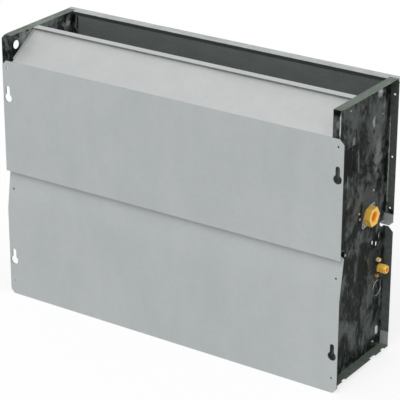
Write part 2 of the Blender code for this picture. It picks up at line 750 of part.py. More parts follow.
def bend(name, side, start, reach, ends, corner, frame):
    """Copper return bend: two straight legs joined by rounded corners, swept along a curve."""
    (n0, s0), (n1, s1) = ends
    length = math.hypot(n1 - n0, s1 - s0)
    un, us = (n1 - n0) / length, (s1 - s0) / length
    path = [(start, 0.0)]
    path += [(reach + x, corner + t) for x, t in arc((0, 0), corner, -90, 0, 3)]
    path += [(x, length - t) for x, t in path[::-1] if length - t > path[-1][1] + 1e-6]
    curve = bpy.data.curves.new(name, "CURVE")
    curve.dimensions = "3D"
    curve.bevel_depth = TUBE_R * MM
    curve.bevel_resolution = 2
    curve.use_fill_caps = True
    spline = curve.splines.new("POLY")
    spline.points.add(len(path) - 1)
    for point, (x, t) in zip(spline.points, path):
        point.co = (side * x * MM, (n0 + un * t) * MM, (s0 + us * t) * MM, 1)
    obj = bpy.data.objects.new(name, curve)
    bpy.context.scene.collection.objects.link(obj)
    obj.parent = frame
    curve.materials.append(material(name, "copper"))
    spline.use_smooth = True


def lock_ears():
    """Centres of the two ears of the lock plate, about the upper connection."""
    turn = math.radians(LOCK_EAR_TURN)
    return [(side * LOCK_EAR[0] * math.cos(turn), side * LOCK_EAR[0] * math.sin(turn)) for side in (1, -1)]


def lock_plate_outline():
    """Round plate drawn out to an ear at both ends, with straight tangents between."""
    reach, radius = LOCK_EAR
    tangent = math.degrees(math.acos((LOCK_PLATE_R - radius) / reach))
    outline = []
    for start, ear in zip((LOCK_EAR_TURN, LOCK_EAR_TURN + 180), lock_ears()):
        outline += arc(ear, radius, start - tangent, start + tangent, 6)
        outline += arc((0, 0), LOCK_PLATE_R, start + tangent, start + 180 - tangent, 6)
    return outline


def headers(frame):
    """Two short headers, the pipe connections that pass the side tray, and the two service valves."""
    plate_end = FIN_HALF_LENGTH + SEAT
    heights = tube_heights()
    for name, direction in (("lower", -1), ("upper", 1)):
        across, along = connection_point(direction)
        low, high = along - HEADER_SPAN / 2, along + HEADER_SPAN / 2
        body = Form().prism("Z", circle((HEADER_X, across), HEADER_R, 20), low, high)
        obj = body.make(f"{name}_header", "copper", smooth=True, parent=frame)
        stubs = Form()
        for height in (heights[:2] if direction < 0 else heights[-2:]):
            stubs.prism("X", circle((across, height), TUBE_R, 12), plate_end, HEADER_X)
        combine(obj, stubs.tool(f"{name}_header_stubs", parent=frame), "UNION")

    start = HEADER_X + HEADER_R + SEAT
    across, along = connection_point(1)
    nut = SIDE_X + SEAT + LOCK_PLATE + SEAT
    end = nut + UPPER_HEX_LENGTH
    body = Form().prism("X", hexagon(UPPER_HEX, UPPER_HEX_TURN), nut, end)
    obj = body.make("upper_connection", "brass", parent=frame, at=(0, across, along))
    neck = Form().prism("X", circle((0, 0), CONNECTION_NECK_R, 24), start, nut + 1)
    combine(obj, neck.tool("upper_connection_neck", frame, (0, across, along)), "UNION")
    bottom = end - UPPER_BORE_DEPTH
    lead = UPPER_BORE_LEAD
    profile = [
        (bottom, 0), (bottom, UPPER_BORE_R), (end - lead, UPPER_BORE_R),
        (end + 1, UPPER_BORE_R + lead + 1), (end + 1, 0),
    ]
    bore = Form().lathe(profile, 24, closed=False)
    combine(obj, bore.tool("upper_connection_bore", frame, (0, across, along)))

    lock = Form().prism("X", lock_plate_outline(), SIDE_X + SEAT, SIDE_X + SEAT + LOCK_PLATE)
    obj = lock.make("connection_lock_plate", "zinc", parent=frame, at=(0, across, along))
    holes = Form().prism("X", circle((0, 0), CONNECTION_NECK_R + SEAT, 24), SIDE_X - 2, SIDE_X + 4)
    for ear in lock_ears():
        holes.prism("X", circle(ear, LOCK_EAR_HOLE_R, 12), SIDE_X - 2, SIDE_X + 4)
    combine(obj, holes.tool("connection_lock_plate_holes", frame, (0, across, along)))

    across, along = connection_point(-1)
    hex_end = SIDE_X + LOWER_HEX_OUT
    end = SIDE_X + LOWER_END_OUT
    body = Form().prism("X", hexagon(LOWER_HEX, LOWER_HEX_TURN), start + 4, hex_end)
    obj = body.make("lower_connection", "brass", parent=frame, at=(0, across, along))
    profile = [
        (start, 0), (start, LOWER_NECK_R), (start + 5, LOWER_NECK_R), (hex_end - 1, LOWER_END_R),
        (end - 1, LOWER_END_R), (end, LOWER_END_R - 1), (end, 0),
    ]
    ends = Form().lathe(profile, 20, closed=False)
    combine(obj, ends.tool("lower_connection_ends", frame, (0, across, along)), "UNION")
    bottom = end - LOWER_BORE_DEPTH
    profile = [(bottom, 0), (bottom, LOWER_BORE_R), (end + 1, LOWER_BORE_R), (end + 1, 0)]
    bore = Form().lathe(profile, 24, closed=False)
    combine(obj, bore.tool("lower_connection_bore", frame, (0, across, along)))

    valves = (("vent", 0, VENT_STEP, VENT_OUT), ("drain", DRAIN_ASIDE, DRAIN_STEP, DRAIN_OUT))
    for name, aside, step, out in valves:
        at = (0, across + aside, along + step)
        mouth = SIDE_X + out
        bottom = mouth - VALVE_BORE_DEPTH
        shell = [
            (start, 0), (start, VALVE_R), (mouth, VALVE_R), (mouth, VALVE_BORE_R),
            (bottom, VALVE_BORE_R), (bottom, 0),
        ]
        Form().lathe(shell, 16, closed=False).make(f"{name}_valve_body", "brass", True, frame, at)
        shank = VALVE_BORE_R - RUN_FIT
        face = mouth + SEAT
        head = [
            (bottom + SEAT, 0), (bottom + SEAT, shank), (face, shank), (face, SPINDLE_HEAD_R),
            (face + SPINDLE_HEAD - 0.6, SPINDLE_HEAD_R), (face + SPINDLE_HEAD, SPINDLE_HEAD_R - 0.6),
            (face + SPINDLE_HEAD, 0),
        ]
        obj = Form().lathe(head, 16, closed=False).make(f"{name}_valve_spindle", "brass", True, frame, at)
        slot = Form().box((face + SPINDLE_HEAD - SPINDLE_SLOT, -0.6, -6), (face + SPINDLE_HEAD + 1, 0.6, 6))
        combine(obj, slot.tool(f"{name}_valve_spindle_slot", frame, at))


def coil_top_baffle():
    """Closes the bay above the coil, from its top edge to the wall panel."""
    rise = PLATE_HALF_HEIGHT + SEAT
    wall = SHEET + SEAT + SHEET
    corner = coil_to_world(-PLATE_HALF_DEPTH, rise)
    fold = [
        coil_to_world(ROW_PITCH / 2, rise),
        corner,
        (wall, corner[1] - 8),
        (wall, corner[1] + 8),
    ]
    Form().prism("X", ribbon(fold, -SHEET), -INNER_X, INNER_X).make("coil_top_baffle", "zinc")


def drain_pan():
    """Folded trough under the low edge of the coil, with its outlet spigot."""
    room = PAN_WALL_Y + PAN_DEPTH
    end = INNER_X
    outer = [
        (PAN_WALL_Y, PAN_RIM), (PAN_WALL_Y, PAN_FLOOR + PAN_SLOPE), (SPIGOT_Y - SPIGOT_R, PAN_FLOOR),
        (room - PAN_CHAMFER, PAN_FLOOR), (room, PAN_FLOOR + PAN_CHAMFER), (room, PAN_RIM),
    ]
    pan = Form().prism("X", outer, -end, end).make("drain_pan", "dark_zinc")
    inner = inset(outer, PAN_WALL)
    inner[0] = (inner[0][0], PAN_RIM + 2)
    inner[-1] = (inner[-1][0], PAN_RIM + 2)
    hollow = Form().prism("X", inner, -end + PAN_WALL, end - PAN_WALL)
    combine(pan, hollow.tool("drain_pan_hollow"))
    at = (SPIGOT_X, SPIGOT_Y)
    hole = circle(at, SPIGOT_STEM_R + SEAT, 16)
    outlet = Form().prism("Z", hole, PAN_FLOOR - 3, PAN_FLOOR + PAN_WALL + 2)
    combine(pan, outlet.tool("drain_pan_outlet"))

    top = PAN_FLOOR + PAN_WALL
    low = PAN_FLOOR - SPIGOT_DROP
    spigot = Form().prism("Z", circle(at, SPIGOT_R, 16), low, PAN_FLOOR - SEAT)
    obj = spigot.make("drain_spigot", "dark_plastic", smooth=True)
    stem = Form().prism("Z", circle(at, SPIGOT_STEM_R, 16), PAN_FLOOR - 2, top)
    combine(obj, stem.tool("drain_spigot_stem"), "UNION")
    bore = Form().prism("Z", circle(at, SPIGOT_BORE_R, 16), low - 2, top + 2)
    combine(obj, bore.tool("drain_spigot_bore"))


def scroll_outline():
    """Scroll outline about the fan axis, opening upward on its wall side."""
    steps = 22
    points = []
    for i in range(steps + 1):
        turn = SCROLL_CUTOFF + (SCROLL_LAST - SCROLL_CUTOFF) * i / steps
        radius = SCROLL_START_R + SCROLL_GROWTH * i / steps
        angle = math.radians(turn)
        points.append((FAN_Y + radius * math.sin(angle), FAN_Z + radius * math.cos(angle)))
    mouth = DECK_Z - SEAT
    return points + [(points[-1][0], mouth), (points[0][0] - SCROLL_MOUTH_LEAN, mouth)]


def fan_deck():
    """Deck that carries the scrolls and the motor, open above each scroll."""
    gap = SHEET + SEAT
    apron = PAN_WALL_Y - SEAT
    fold = [
        (gap, DECK_Z - DECK_TAB),
        (gap, DECK_Z + SHEET),
        (apron, DECK_Z + SHEET),
        (apron, DECK_Z - DECK_APRON),
    ]
    deck = Form().prism("X", ribbon(fold, -SHEET), -INNER_X, INNER_X).make("fan_deck", "zinc")
    outline = scroll_outline()
    near = outline[-2][0] + SCROLL_WALL
    away = outline[-1][0] - SCROLL_WALL
    mouths = Form()
    for side in (-1, 1):
        half = SCROLL_HALF_WIDTH - SCROLL_WALL
        mouths.box((side * FAN_X - half, near, DECK_Z - 3), (side * FAN_X + half, away, DECK_Z + 5))
    combine(deck, mouths.tool("fan_deck_mouths"))


def scroll_housing(name, side):
    """Double-inlet scroll: spiral wrapper, two side walls with inlet rings, open at the top."""
    centre = side * FAN_X
    outline = scroll_outline()
    body = Form().prism("X", outline, centre - SCROLL_HALF_WIDTH, centre + SCROLL_HALF_WIDTH)
    obj = body.make(name, "zinc", smooth=True)
    rings = Form()
    for end in (-1, 1):
        wall = centre + end * SCROLL_HALF_WIDTH
        inner = wall - end * SCROLL_WALL / 2
        profile = [
            (inner, INLET_R - 1),
            (inner, INLET_R + INLET_RING),
            (wall + end * 2.0, INLET_R + INLET_RING),
            (wall + end * 4.6, INLET_R + INLET_RING - 3),
            (wall + end * 3.4, INLET_R - 1),
        ]
        rings.lathe(profile, 24, (FAN_Y, FAN_Z))
    combine(obj, rings.tool(f"{name}_rings"), "UNION")
    inner = inset(outline, SCROLL_WALL)
    inner[-2] = (inner[-2][0], DECK_Z + 3)
    inner[-1] = (inner[-1][0], DECK_Z + 3)
    half = SCROLL_HALF_WIDTH - SCROLL_WALL
    hollow = Form().prism("X", inner, centre - half, centre + half)
    combine(obj, hollow.tool(f"{name}_hollow"))
    reach = SCROLL_HALF_WIDTH + 10
    inlet = Form().prism("X", circle((FAN_Y, FAN_Z), INLET_R, 24), centre - reach, centre + reach)
    combine(obj, inlet.tool(f"{name}_inlet"))


def blade_outline(turn):
    """Cross-section of one forward-curved blade: radial at the inlet, leaning into the turn at the outlet."""
    middle = []
    steps = 2
    for i in range(steps + 1):
        share = i / steps
        radius = BLADE_INLET_R + (BLADE_OUTLET_R - BLADE_INLET_R) * share
        angle = math.radians(turn + BLADE_LEAN * share * share)
        middle.append((radius * math.sin(angle), radius * math.cos(angle)))
    return offset_path(middle, BLADE_THICKNESS / 2) + offset_path(middle, -BLADE_THICKNESS / 2)[::-1]


def impeller(name, side):
    """Double-width forward-curved wheel: blades between two end rings, through a centre disc with its hub."""
    at = (side * FAN_X, FAN_Y, FAN_Z)
    bore = SHAFT_R + RUN_FIT
    disc = WHEEL_DISC / 2
    body = Form().lathe(
        [
            (-HUB_HALF_LENGTH, bore), (HUB_HALF_LENGTH, bore), (HUB_HALF_LENGTH, HUB_R),
            (disc, HUB_R + 3), (disc, WHEEL_R), (-disc, WHEEL_R),
            (-disc, HUB_R + 3), (-HUB_HALF_LENGTH, HUB_R),
        ],
        WHEEL_BLADES,
    )
    for end in (-1, 1):
        inner = end * (WHEEL_HALF_LENGTH - WHEEL_RING)
        outer = end * WHEEL_HALF_LENGTH
        ring = [(inner, WHEEL_INNER_R), (outer, WHEEL_INNER_R), (outer, WHEEL_R), (inner, WHEEL_R)]
        body.lathe(ring, WHEEL_BLADES)
    obj = body.make(name, "dark_zinc", smooth=True, at=at)
    blades = Form()
    reach = WHEEL_HALF_LENGTH - WHEEL_RING / 2
    for i in range(WHEEL_BLADES):
        blades.prism("X", blade_outline(360 / WHEEL_BLADES * i), -reach, reach)
    combine(obj, blades.tool(f"{name}_blades", at=at), "UNION")


def fans():
    for name, side in (("left", -1), ("right", 1)):
        scroll_housing(f"{name}_scroll_housing", side)
        impeller(f"{name}_impeller", side)
    end = FAN_X + HUB_HALF_LENGTH + SHAFT_END
    half = [(end - 0.8, SHAFT_R), (end, SHAFT_R - 0.8), (end, 0)]
    rod = [(-x, r) for x, r in half[::-1]] + half
    Form().lathe(rod, 16, closed=False).make("fan_shaft", "steel", True, at=(0, FAN_Y, FAN_Z))

    bore = SHAFT_R + RUN_FIT
    rim = MOTOR_HALF_LENGTH - MOTOR_RIM_WIDTH
    bell = MOTOR_HALF_LENGTH + MOTOR_BELL
    half = [
        (rim, MOTOR_R), (rim, MOTOR_R + MOTOR_RIM), (MOTOR_HALF_LENGTH, MOTOR_R + MOTOR_RIM),
        (bell - 3, MOTOR_R - MOTOR_BELL), (bell, MOTOR_BOSS_R + 4), (bell, MOTOR_BOSS_R),
        (MOTOR_BOSS_END, MOTOR_BOSS_R), (MOTOR_BOSS_END, bore),
    ]
    profile = half + [(-x, r) for x, r in half[::-1]]
    Form().lathe(profile, 24).make("fan_motor", "black_paint", True, at=(0, FAN_Y, FAN_Z))

    for name, side in (("left", -1), ("right", 1)):
        x0, x1 = span(side, CUSHION_START, CUSHION_START + CUSHION_LENGTH)
        inner = MOTOR_BOSS_R + SEAT
        ring = [
            (x0, inner), (x1, inner), (x1, CUSHION_R - 1),
            (x1 - 1, CUSHION_R), (x0 + 1, CUSHION_R), (x0, CUSHION_R - 1),
        ]
        Form().lathe(ring, 20, (FAN_Y, FAN_Z)).make(f"{name}_motor_cushion", "rubber", True)
        motor_strap(f"{name}_motor_strap", side)
    motor_cradle()


def motor_strap(name, side):
    middle = CUSHION_START + CUSHION_LENGTH / 2
    low, high = span(side, middle - STRAP_WIDTH / 2, middle + STRAP_WIDTH / 2)
    inner = CUSHION_R + SEAT
    seat = FAN_Z - SEAT
    sweep = arc((FAN_Y, FAN_Z), inner, 180, 360, 16)
    ear = inner + STRAP + STRAP_EAR
    line = [(FAN_Y - ear, seat)] + [(y, min(z, seat)) for y, z in sweep] + [(FAN_Y + ear, seat)]
    outer = arc((FAN_Y, FAN_Z), inner + STRAP, 190, 350, 14)
    under = [(FAN_Y - ear, seat - STRAP), (outer[0][0], seat - STRAP)] + outer[1:-1]
    under += [(outer[-1][0], seat - STRAP), (FAN_Y + ear, seat - STRAP)]
    Form().prism("X", line + under[::-1], low, high).make(name, "steel")


def motor_cradle():
    """Bracket under the deck with two arms that hold the motor by its cushions."""
    top = DECK_Z - SEAT
    middle = CUSHION_START + CUSHION_LENGTH / 2
    reach = middle + STRAP_WIDTH / 2
    near, away = FAN_Y - CRADLE_HALF_DEPTH, FAN_Y + CRADLE_HALF_DEPTH
    base = Form().box((-reach, near, top - CRADLE_BASE), (reach, away, top))
    obj = base.make("motor_cradle", "zinc")
    arms = Form()
    seat = arc((FAN_Y, FAN_Z), CUSHION_R + SEAT, 0, 180, 18)
    outline = seat + [(near, FAN_Z), (near, top - 1), (away, top - 1), (away, FAN_Z)]
    for side in (-1, 1):
        low, high = span(side, middle - CRADLE_ARM / 2, middle + CRADLE_ARM / 2)
        arms.prism("X", outline, low, high)
    combine(obj, arms.tool("motor_cradle_arms"), "UNION")


def filter_tray():
    """Pleated filter in a frame that slides out towards the room between two guides."""
    top = FILTER_TOP
    low = top - FILTER_THICKNESS
    web = INNER_X - FILTER_SIDE_GAP
    for name, side in (("left", -1), ("right", 1)):
        ceiling = top + SEAT
        profile = [
            (side * GUIDE_OUTER_X, ceiling + SHEET), (side * GUIDE_INNER_X, ceiling + SHEET),
            (side * GUIDE_INNER_X, ceiling), (side * web, ceiling), (side * web, low - SEAT),
            (side * GUIDE_INNER_X, low - SEAT), (side * GUIDE_INNER_X, low - SEAT - SHEET),
            (side * (web + SHEET), low - SEAT - SHEET), (side * (web + SHEET), ceiling),
            (side * GUIDE_OUTER_X, ceiling),
        ]
        guide = Form().prism("Y", profile, SHEET + 2 * SEAT, DEPTH - SHEET)
        guide.make(f"{name}_filter_guide", "zinc")

    half = web - SEAT
    border = FILTER_BORDER
    frame = Form().box((-half, FILTER_FRONT_Y, low), (half, FILTER_REAR_Y, top))
    obj = frame.make("filter_frame", "dark_plastic")
    windows = Form()
    near, away = FILTER_FRONT_Y + border, FILTER_REAR_Y - border
    windows.box((-half + border, near, low + FILTER_BAR_HEIGHT), (half - border, away, top + 2))
    combine(obj, windows.tool("filter_frame_well"))
    width = (2 * (half - border) - (FILTER_BARS - 1) * FILTER_BAR) / FILTER_BARS
    windows = Form()
    for i in range(FILTER_BARS):
        x = -half + border + i * (width + FILTER_BAR)
        windows.box((x, near, low - 2), (x + width, away, low + FILTER_BAR_HEIGHT + 1))
    combine(obj, windows.tool("filter_frame_windows"))
    reach, out = FILTER_TAB
    shelf = low + FILTER_THICKNESS / 2
    line = [(FILTER_REAR_Y - 2, shelf), (FILTER_REAR_Y + out, shelf), (FILTER_REAR_Y + out, low - 1)]
    grip = Form().prism("X", ribbon(line, -FILTER_TAB_SHEET), -reach / 2, reach / 2)
    combine(obj, grip.tool("filter_frame_grip"), "UNION")

    span_x = half - border - SEAT
    floor = low + FILTER_BAR_HEIGHT + SEAT
    count = 2 * int(span_x / PLEAT_PITCH)
    step = 2 * span_x / count
    tall = top - floor - PLEAT_SHEET * 1.6
    base = floor + PLEAT_SHEET * 0.2
    zigzag = [(-span_x + step * i, base + (tall if i % 2 else 0)) for i in range(count + 1)]
    media = Form().prism("Y", ribbon(zigzag, PLEAT_SHEET), near + SEAT, away - SEAT)
    media.make("filter_media", "media")


def terminals():
    """Terminal block on its plate in the left tray, and the cable grommet of the motor lead."""
    y0, y1, z0, z1 = TERMINAL_PLATE
    back = SIDE_X + SEAT
    face = back + TERMINAL_PLATE_SHEET
    plate = Form().box((-face, y0, z0), (-back, y1, z1)).make("terminal_plate", "zinc")
    holes = Form()
    for z in (z0 + 6, z1 - 6):
        holes.prism("X", circle(((y0 + y1) / 2, z), PANEL_SCREW_R, 8), -face - 2, -back + 2)
    combine(plate, holes.tool("terminal_plate_holes"))

    y0, y1 = y0 + TERMINAL_MARGIN[0], y1 - TERMINAL_MARGIN[0]
    z0, z1 = z0 + TERMINAL_MARGIN[1], z1 - TERMINAL_MARGIN[1]
    near = face + SEAT
    far = near + TERMINAL_BLOCK_OUT
    profile = [
        (-near, y0), (-near, y1), (-near - 6, y1), (-far + 3, y1 - 8),
        (-far, y1 - 8), (-far, y0 + 8), (-far + 3, y0 + 8), (-near - 6, y0),
    ]
    block = Form().prism("Z", profile, z0, z1).make("terminal_block", "pale_plastic")
    wells = Form()
    pitch = (z1 - z0) / TERMINAL_WAYS
    for i in range(TERMINAL_WAYS):
        z = z0 + pitch * (i + 0.5)
        for y in (y0 + 12, y1 - 12):
            wells.prism("X", circle((y, z), pitch * 0.26, 6), -far - 2, -far + 4)
        if i:
            wells.box((-far - 2, y0 - 2, z0 + pitch * i - 0.5), (-far + 1.5, y1 + 2, z0 + pitch * i + 0.5))
    combine(block, wells.tool("terminal_block_wells"))

    y, z, radius = GROMMET
    out, inn = -SIDE_X - SEAT, -SIDE_X + SHEET + SEAT
    groove = radius - SEAT
    lip = radius + GROMMET_FLANGE
    ring = [
        (out - 2, GROMMET_BORE_R), (out - 2, lip - 1), (out - 1, lip), (out, lip), (out, groove),
        (inn, groove), (inn, lip), (inn + 1, lip), (inn + 2, lip - 1), (inn + 2, GROMMET_BORE_R),
    ]
    Form().lathe(ring, 14, (y, z)).make("cable_grommet", "rubber", True)


def main():
    clear_scene()
    frame = bpy.data.objects.new("coil_frame", None)
    bpy.context.scene.collection.objects.link(frame)
    frame.location = Vector((0, COIL_Y, COIL_Z)) * MM
    frame.rotation_euler = (COIL_TILT, 0, 0)
    casing()
    room_side()
    discharge_baffle()
    coil(frame)
    headers(frame)
    coil_top_baffle()
    drain_pan()
    fan_deck()
    fans()
    filter_tray()
    terminals()


main()
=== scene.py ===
"""Looks of a concealed vertical fan coil unit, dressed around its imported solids.

Axes: X runs along the wall, Y runs from the wall (0) into the room, Z is up with 0 under the base flange.
Sizes are metres, and MM turns a drawing's millimetres into them.
"""

import json
import logging
import math
from abc import ABC, abstractmethod
from dataclasses import dataclass
from enum import Enum
from typing import ClassVar, Iterable, Sequence

import bmesh
import bpy
from mathutils import Matrix, Vector

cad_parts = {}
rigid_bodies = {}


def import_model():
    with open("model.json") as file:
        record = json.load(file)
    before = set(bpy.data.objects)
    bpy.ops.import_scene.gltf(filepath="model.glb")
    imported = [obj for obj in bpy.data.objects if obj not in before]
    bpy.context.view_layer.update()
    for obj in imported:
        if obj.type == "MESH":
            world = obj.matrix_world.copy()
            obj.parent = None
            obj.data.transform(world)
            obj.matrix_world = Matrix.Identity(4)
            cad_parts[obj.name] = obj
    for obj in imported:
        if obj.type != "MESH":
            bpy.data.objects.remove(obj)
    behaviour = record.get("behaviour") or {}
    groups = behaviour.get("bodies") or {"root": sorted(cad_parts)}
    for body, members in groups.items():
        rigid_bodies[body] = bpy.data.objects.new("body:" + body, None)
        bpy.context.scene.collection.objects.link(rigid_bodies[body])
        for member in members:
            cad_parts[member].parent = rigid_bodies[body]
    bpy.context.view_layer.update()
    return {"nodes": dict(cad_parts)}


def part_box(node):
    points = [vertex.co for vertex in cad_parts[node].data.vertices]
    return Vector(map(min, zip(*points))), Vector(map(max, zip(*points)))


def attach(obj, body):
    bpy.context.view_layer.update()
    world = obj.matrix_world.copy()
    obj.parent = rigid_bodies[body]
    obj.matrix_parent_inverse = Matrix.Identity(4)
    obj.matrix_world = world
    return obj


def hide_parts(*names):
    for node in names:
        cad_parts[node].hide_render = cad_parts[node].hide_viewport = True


for startup in list(bpy.data.objects):
    bpy.data.objects.remove(startup)
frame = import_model()

LOG = logging.getLogger("fan_coil_unit")

Colour = tuple[float, float, float]
Triple = tuple[float, float, float]
Pair = tuple[float, float]
Tree = bpy.types.NodeTree
Node = bpy.types.Node
Socket = bpy.types.NodeSocket
Outputs = bpy.types.NodeOutputs
BMesh = bmesh.types.BMesh
BMVert = bmesh.types.BMVert
BMEdge = bmesh.types.BMEdge
BMFace = bmesh.types.BMFace

MM = 0.001
MERGE = 1e-6
FLAT = math.radians(0.5)
NEAR = 0.4 * MM
MOST_OVERLAP = 5e-6
BEVEL_TRIES = 3
SHEET_SHADING = 50.0
SIDES = (("left", -1), ("right", 1))
Z_TO_X = Matrix.Rotation(math.pi / 2, 4, "Y")
CHASSIS = "chassis"
ROTOR = "fan_rotor"
FILTER = "filter"
VENT_SCREW = "vent_screw"
DRAIN_SCREW = "drain_screw"


def mm(*rows: Sequence[float]) -> tuple[tuple[float, ...], ...]:
    """Rows of millimetres, in metres."""
    return tuple(tuple(part * MM for part in row) for row in rows)


# Shader graphs and the effects that several finishes share


class Graph:
    """Short calls that add and join the nodes of one tree."""

    def __init__(self, tree: Tree) -> None:
        """Keeps the tree that the nodes go into."""
        self.tree = tree

    def add(self, kind: str, feeds: dict[str | int, object] | None = None, **settings: object) -> Node:
        """Adds a node, sets its options and feeds its inputs.

        Args:
            kind: Blender's name of the node type.
            feeds: What goes into its inputs, by name or number.
            settings: Options of the node by name.

        Returns:
            The new node.
        """
        node = self.tree.nodes.new(kind)
        for key, value in settings.items():
            setattr(node, key, value)
        return self.fill(node, feeds or {})

    def fill(self, node: Node, feeds: dict[str | int, object]) -> Node:
        """Feeds several inputs of a node.

        Args:
            node: The node.
            feeds: What goes into its inputs, by name or number.

        Returns:
            The same node.
        """
        for key, value in feeds.items():
            self.feed(node.inputs[key], value)
        return node

    def feed(self, socket: Socket, value: object) -> None:
        """Links a socket to another, or sets its own value.

        Args:
            socket: The input that takes the value.
            value: An output socket, a colour, a vector or a number.
        """
        if isinstance(value, Socket):
            self.tree.links.new(value, socket)
        elif isinstance(value, tuple) and socket.type == "RGBA":
            socket.default_value = (*value, 1.0)
        else:
            socket.default_value = value

    def place(self) -> Socket:
        """The object coordinates of the surface."""
        return self.add("ShaderNodeTexCoord").outputs["Object"]

    def math(self, operation: str, *values: object) -> Socket:
        """Joins numbers, as sockets or plain, by an operation such as ADD."""
        return self.add("ShaderNodeMath", dict(enumerate(values)), operation=operation).outputs[0]

    def vector(self, operation: str, *values: object) -> Socket:
        """Joins vectors, as sockets or triples, by an operation such as MULTIPLY."""
        return self.add("ShaderNodeVectorMath", dict(enumerate(values)), operation=operation).outputs[0]

    def noise(self, vector: object, scale: object, detail: float = 3.0, rough: float = 0.55,
              twist: float = 0.0) -> Socket:
        """A noise value from 0 to 1, by cells per metre, octaves, their weight and distortion."""
        feeds = {"Vector": vector, "Scale": scale, "Detail": detail, "Roughness": rough, "Distortion": twist}
        return self.add("ShaderNodeTexNoise", feeds, noise_dimensions="3D").outputs[0]

    def remap(self, value: object, low: object, high: object, new_low: object = 0.0,
              new_high: object = 1.0) -> Socket:
        """Maps the range from low to high smoothly to a new range, held within it."""
        feeds = dict(enumerate((value, low, high, new_low, new_high)))
        return self.add("ShaderNodeMapRange", feeds, interpolation_type="SMOOTHSTEP").outputs[0]

    def blend(self, share: object, first: object, second: object) -> Socket:
        """Mixes two colours by the share of the second."""
        return self.add("ShaderNodeMix", {0: share, 6: first, 7: second}, data_type="RGBA").outputs[2]

    def bump(self, height: object, depth: float, strength: float = 1.0) -> Socket:
        """A normal bent by a height from 0 to 1, where 1 measures the depth in metres."""
        feeds = {"Strength": strength, "Distance": depth, "Height": height}
        return self.add("ShaderNodeBump", feeds).outputs["Normal"]


class Effect(ABC):
    """A shader node group, built once and placed in each material with its own values."""

    title: ClassVar[str]
    takes: ClassVar[dict[str, str]]
    gives: ClassVar[dict[str, str]]

    @abstractmethod
    def wire(self, graph: Graph, given: Outputs) -> dict[str, Socket]:
        """Joins the group's inside.

        Args:
            graph: The group's graph.
            given: The sockets that carry the group's inputs.

        Returns:
            The socket of each output by name.
        """

    def tree(self) -> Tree:
        """The group's tree, made at its first use.

        Returns:
            The tree.
        """
        found = bpy.data.node_groups.get(self.title)
        if found:
            return found
        tree = bpy.data.node_groups.new(self.title, "ShaderNodeTree")
        for names, way in ((self.takes, "INPUT"), (self.gives, "OUTPUT")):
            for name, kind in names.items():
                tree.interface.new_socket(name, in_out=way, socket_type=f"NodeSocket{kind}")
        graph = Graph(tree)
        made = self.wire(graph, graph.add("NodeGroupInput").outputs)
        graph.add("NodeGroupOutput", made)
        return tree

    def use(self, graph: Graph, **values: object) -> Outputs:
        """Places the group in a material, with its inputs by name in lower case."""
        feeds = {name.capitalize(): value for name, value in values.items()}
        return graph.add("ShaderNodeGroup", feeds, node_tree=self.tree()).outputs


class Mottle(Effect):
    """Cloudy patches between two colours, drawn out along one direction."""

    title = "sheet_mottle"
    takes = {"Vector": "Vector", "Stretch": "Vector", "Scale": "Float", "Low": "Float", "High": "Float",
             "Dark": "Color", "Light": "Color"}
    gives = {"Color": "Color"}

    def wire(self, graph: Graph, given: Outputs) -> dict[str, Socket]:
        """Two sizes of noise decide how much of the light colour shows.

        Args:
            graph: The group's graph.
            given: The sockets that carry the group's inputs.

        Returns:
            The socket of each output by name.
        """
        where = graph.vector("MULTIPLY", given["Vector"], given["Stretch"])
        broad = graph.noise(where, given["Scale"], 5.0, 0.62, 0.7)
        close = graph.noise(where, graph.math("MULTIPLY", given["Scale"], 4.3), 4.0, 0.6, 0.4)
        both = graph.math("ADD", graph.math("MULTIPLY", broad, 0.68), graph.math("MULTIPLY", close, 0.32))
        mask = graph.remap(both, given["Low"], given["High"])
        return {"Color": graph.blend(mask, given["Dark"], given["Light"])}


class Grain(Effect):
    """Fine grain that changes the roughness and stands a little proud."""

    title = "fine_grain"
    takes = {"Vector": "Vector", "Stretch": "Vector", "Scale": "Float", "Low": "Float", "High": "Float"}
    gives = {"Roughness": "Float", "Height": "Float"}

    def wire(self, graph: Graph, given: Outputs) -> dict[str, Socket]:
        """One stretched noise gives both outputs.

        Args:
            graph: The group's graph.
            given: The sockets that carry the group's inputs.

        Returns:
            The socket of each output by name.
        """
        where = graph.vector("MULTIPLY", given["Vector"], given["Stretch"])
        height = graph.noise(where, given["Scale"], 4.0, 0.6)
        return {"Roughness": graph.remap(height, 0.3, 0.7, given["Low"], given["High"]), "Height": height}


class Spangle(Effect):
    """Crystal flakes of hot-dip zinc, each a little lighter or darker."""

    title = "zinc_spangle"
    takes = {"Vector": "Vector", "Scale": "Float", "Color": "Color", "Amount": "Float"}
    gives = {"Color": "Color"}

    def wire(self, graph: Graph, given: Outputs) -> dict[str, Socket]:
        """Cells with ragged edges scale the colour.

        Args:
            graph: The group's graph.
            given: The sockets that carry the group's inputs.

        Returns:
            The socket of each output by name.
        """
        wobble = graph.add("ShaderNodeTexNoise", {
            "Vector": given["Vector"], "Scale": graph.math("MULTIPLY", given["Scale"], 2.5)}, noise_dimensions="3D")
        shifted = graph.vector("MULTIPLY_ADD", wobble.outputs[1], (0.006, 0.006, 0.006), given["Vector"])
        cells = graph.add("ShaderNodeTexVoronoi", {"Vector": shifted, "Scale": given["Scale"]}, feature="F1")
        flake = graph.add("ShaderNodeSeparateColor", {0: cells.outputs["Color"]}).outputs[0]
        tone = graph.math("MULTIPLY", graph.math("SUBTRACT", flake, 0.5), given["Amount"])
        scaled = graph.add("ShaderNodeVectorMath", {0: given["Color"], "Scale": graph.math("ADD", tone, 1.0)},
                           operation="SCALE")
        return {"Color": scaled.outputs[0]}


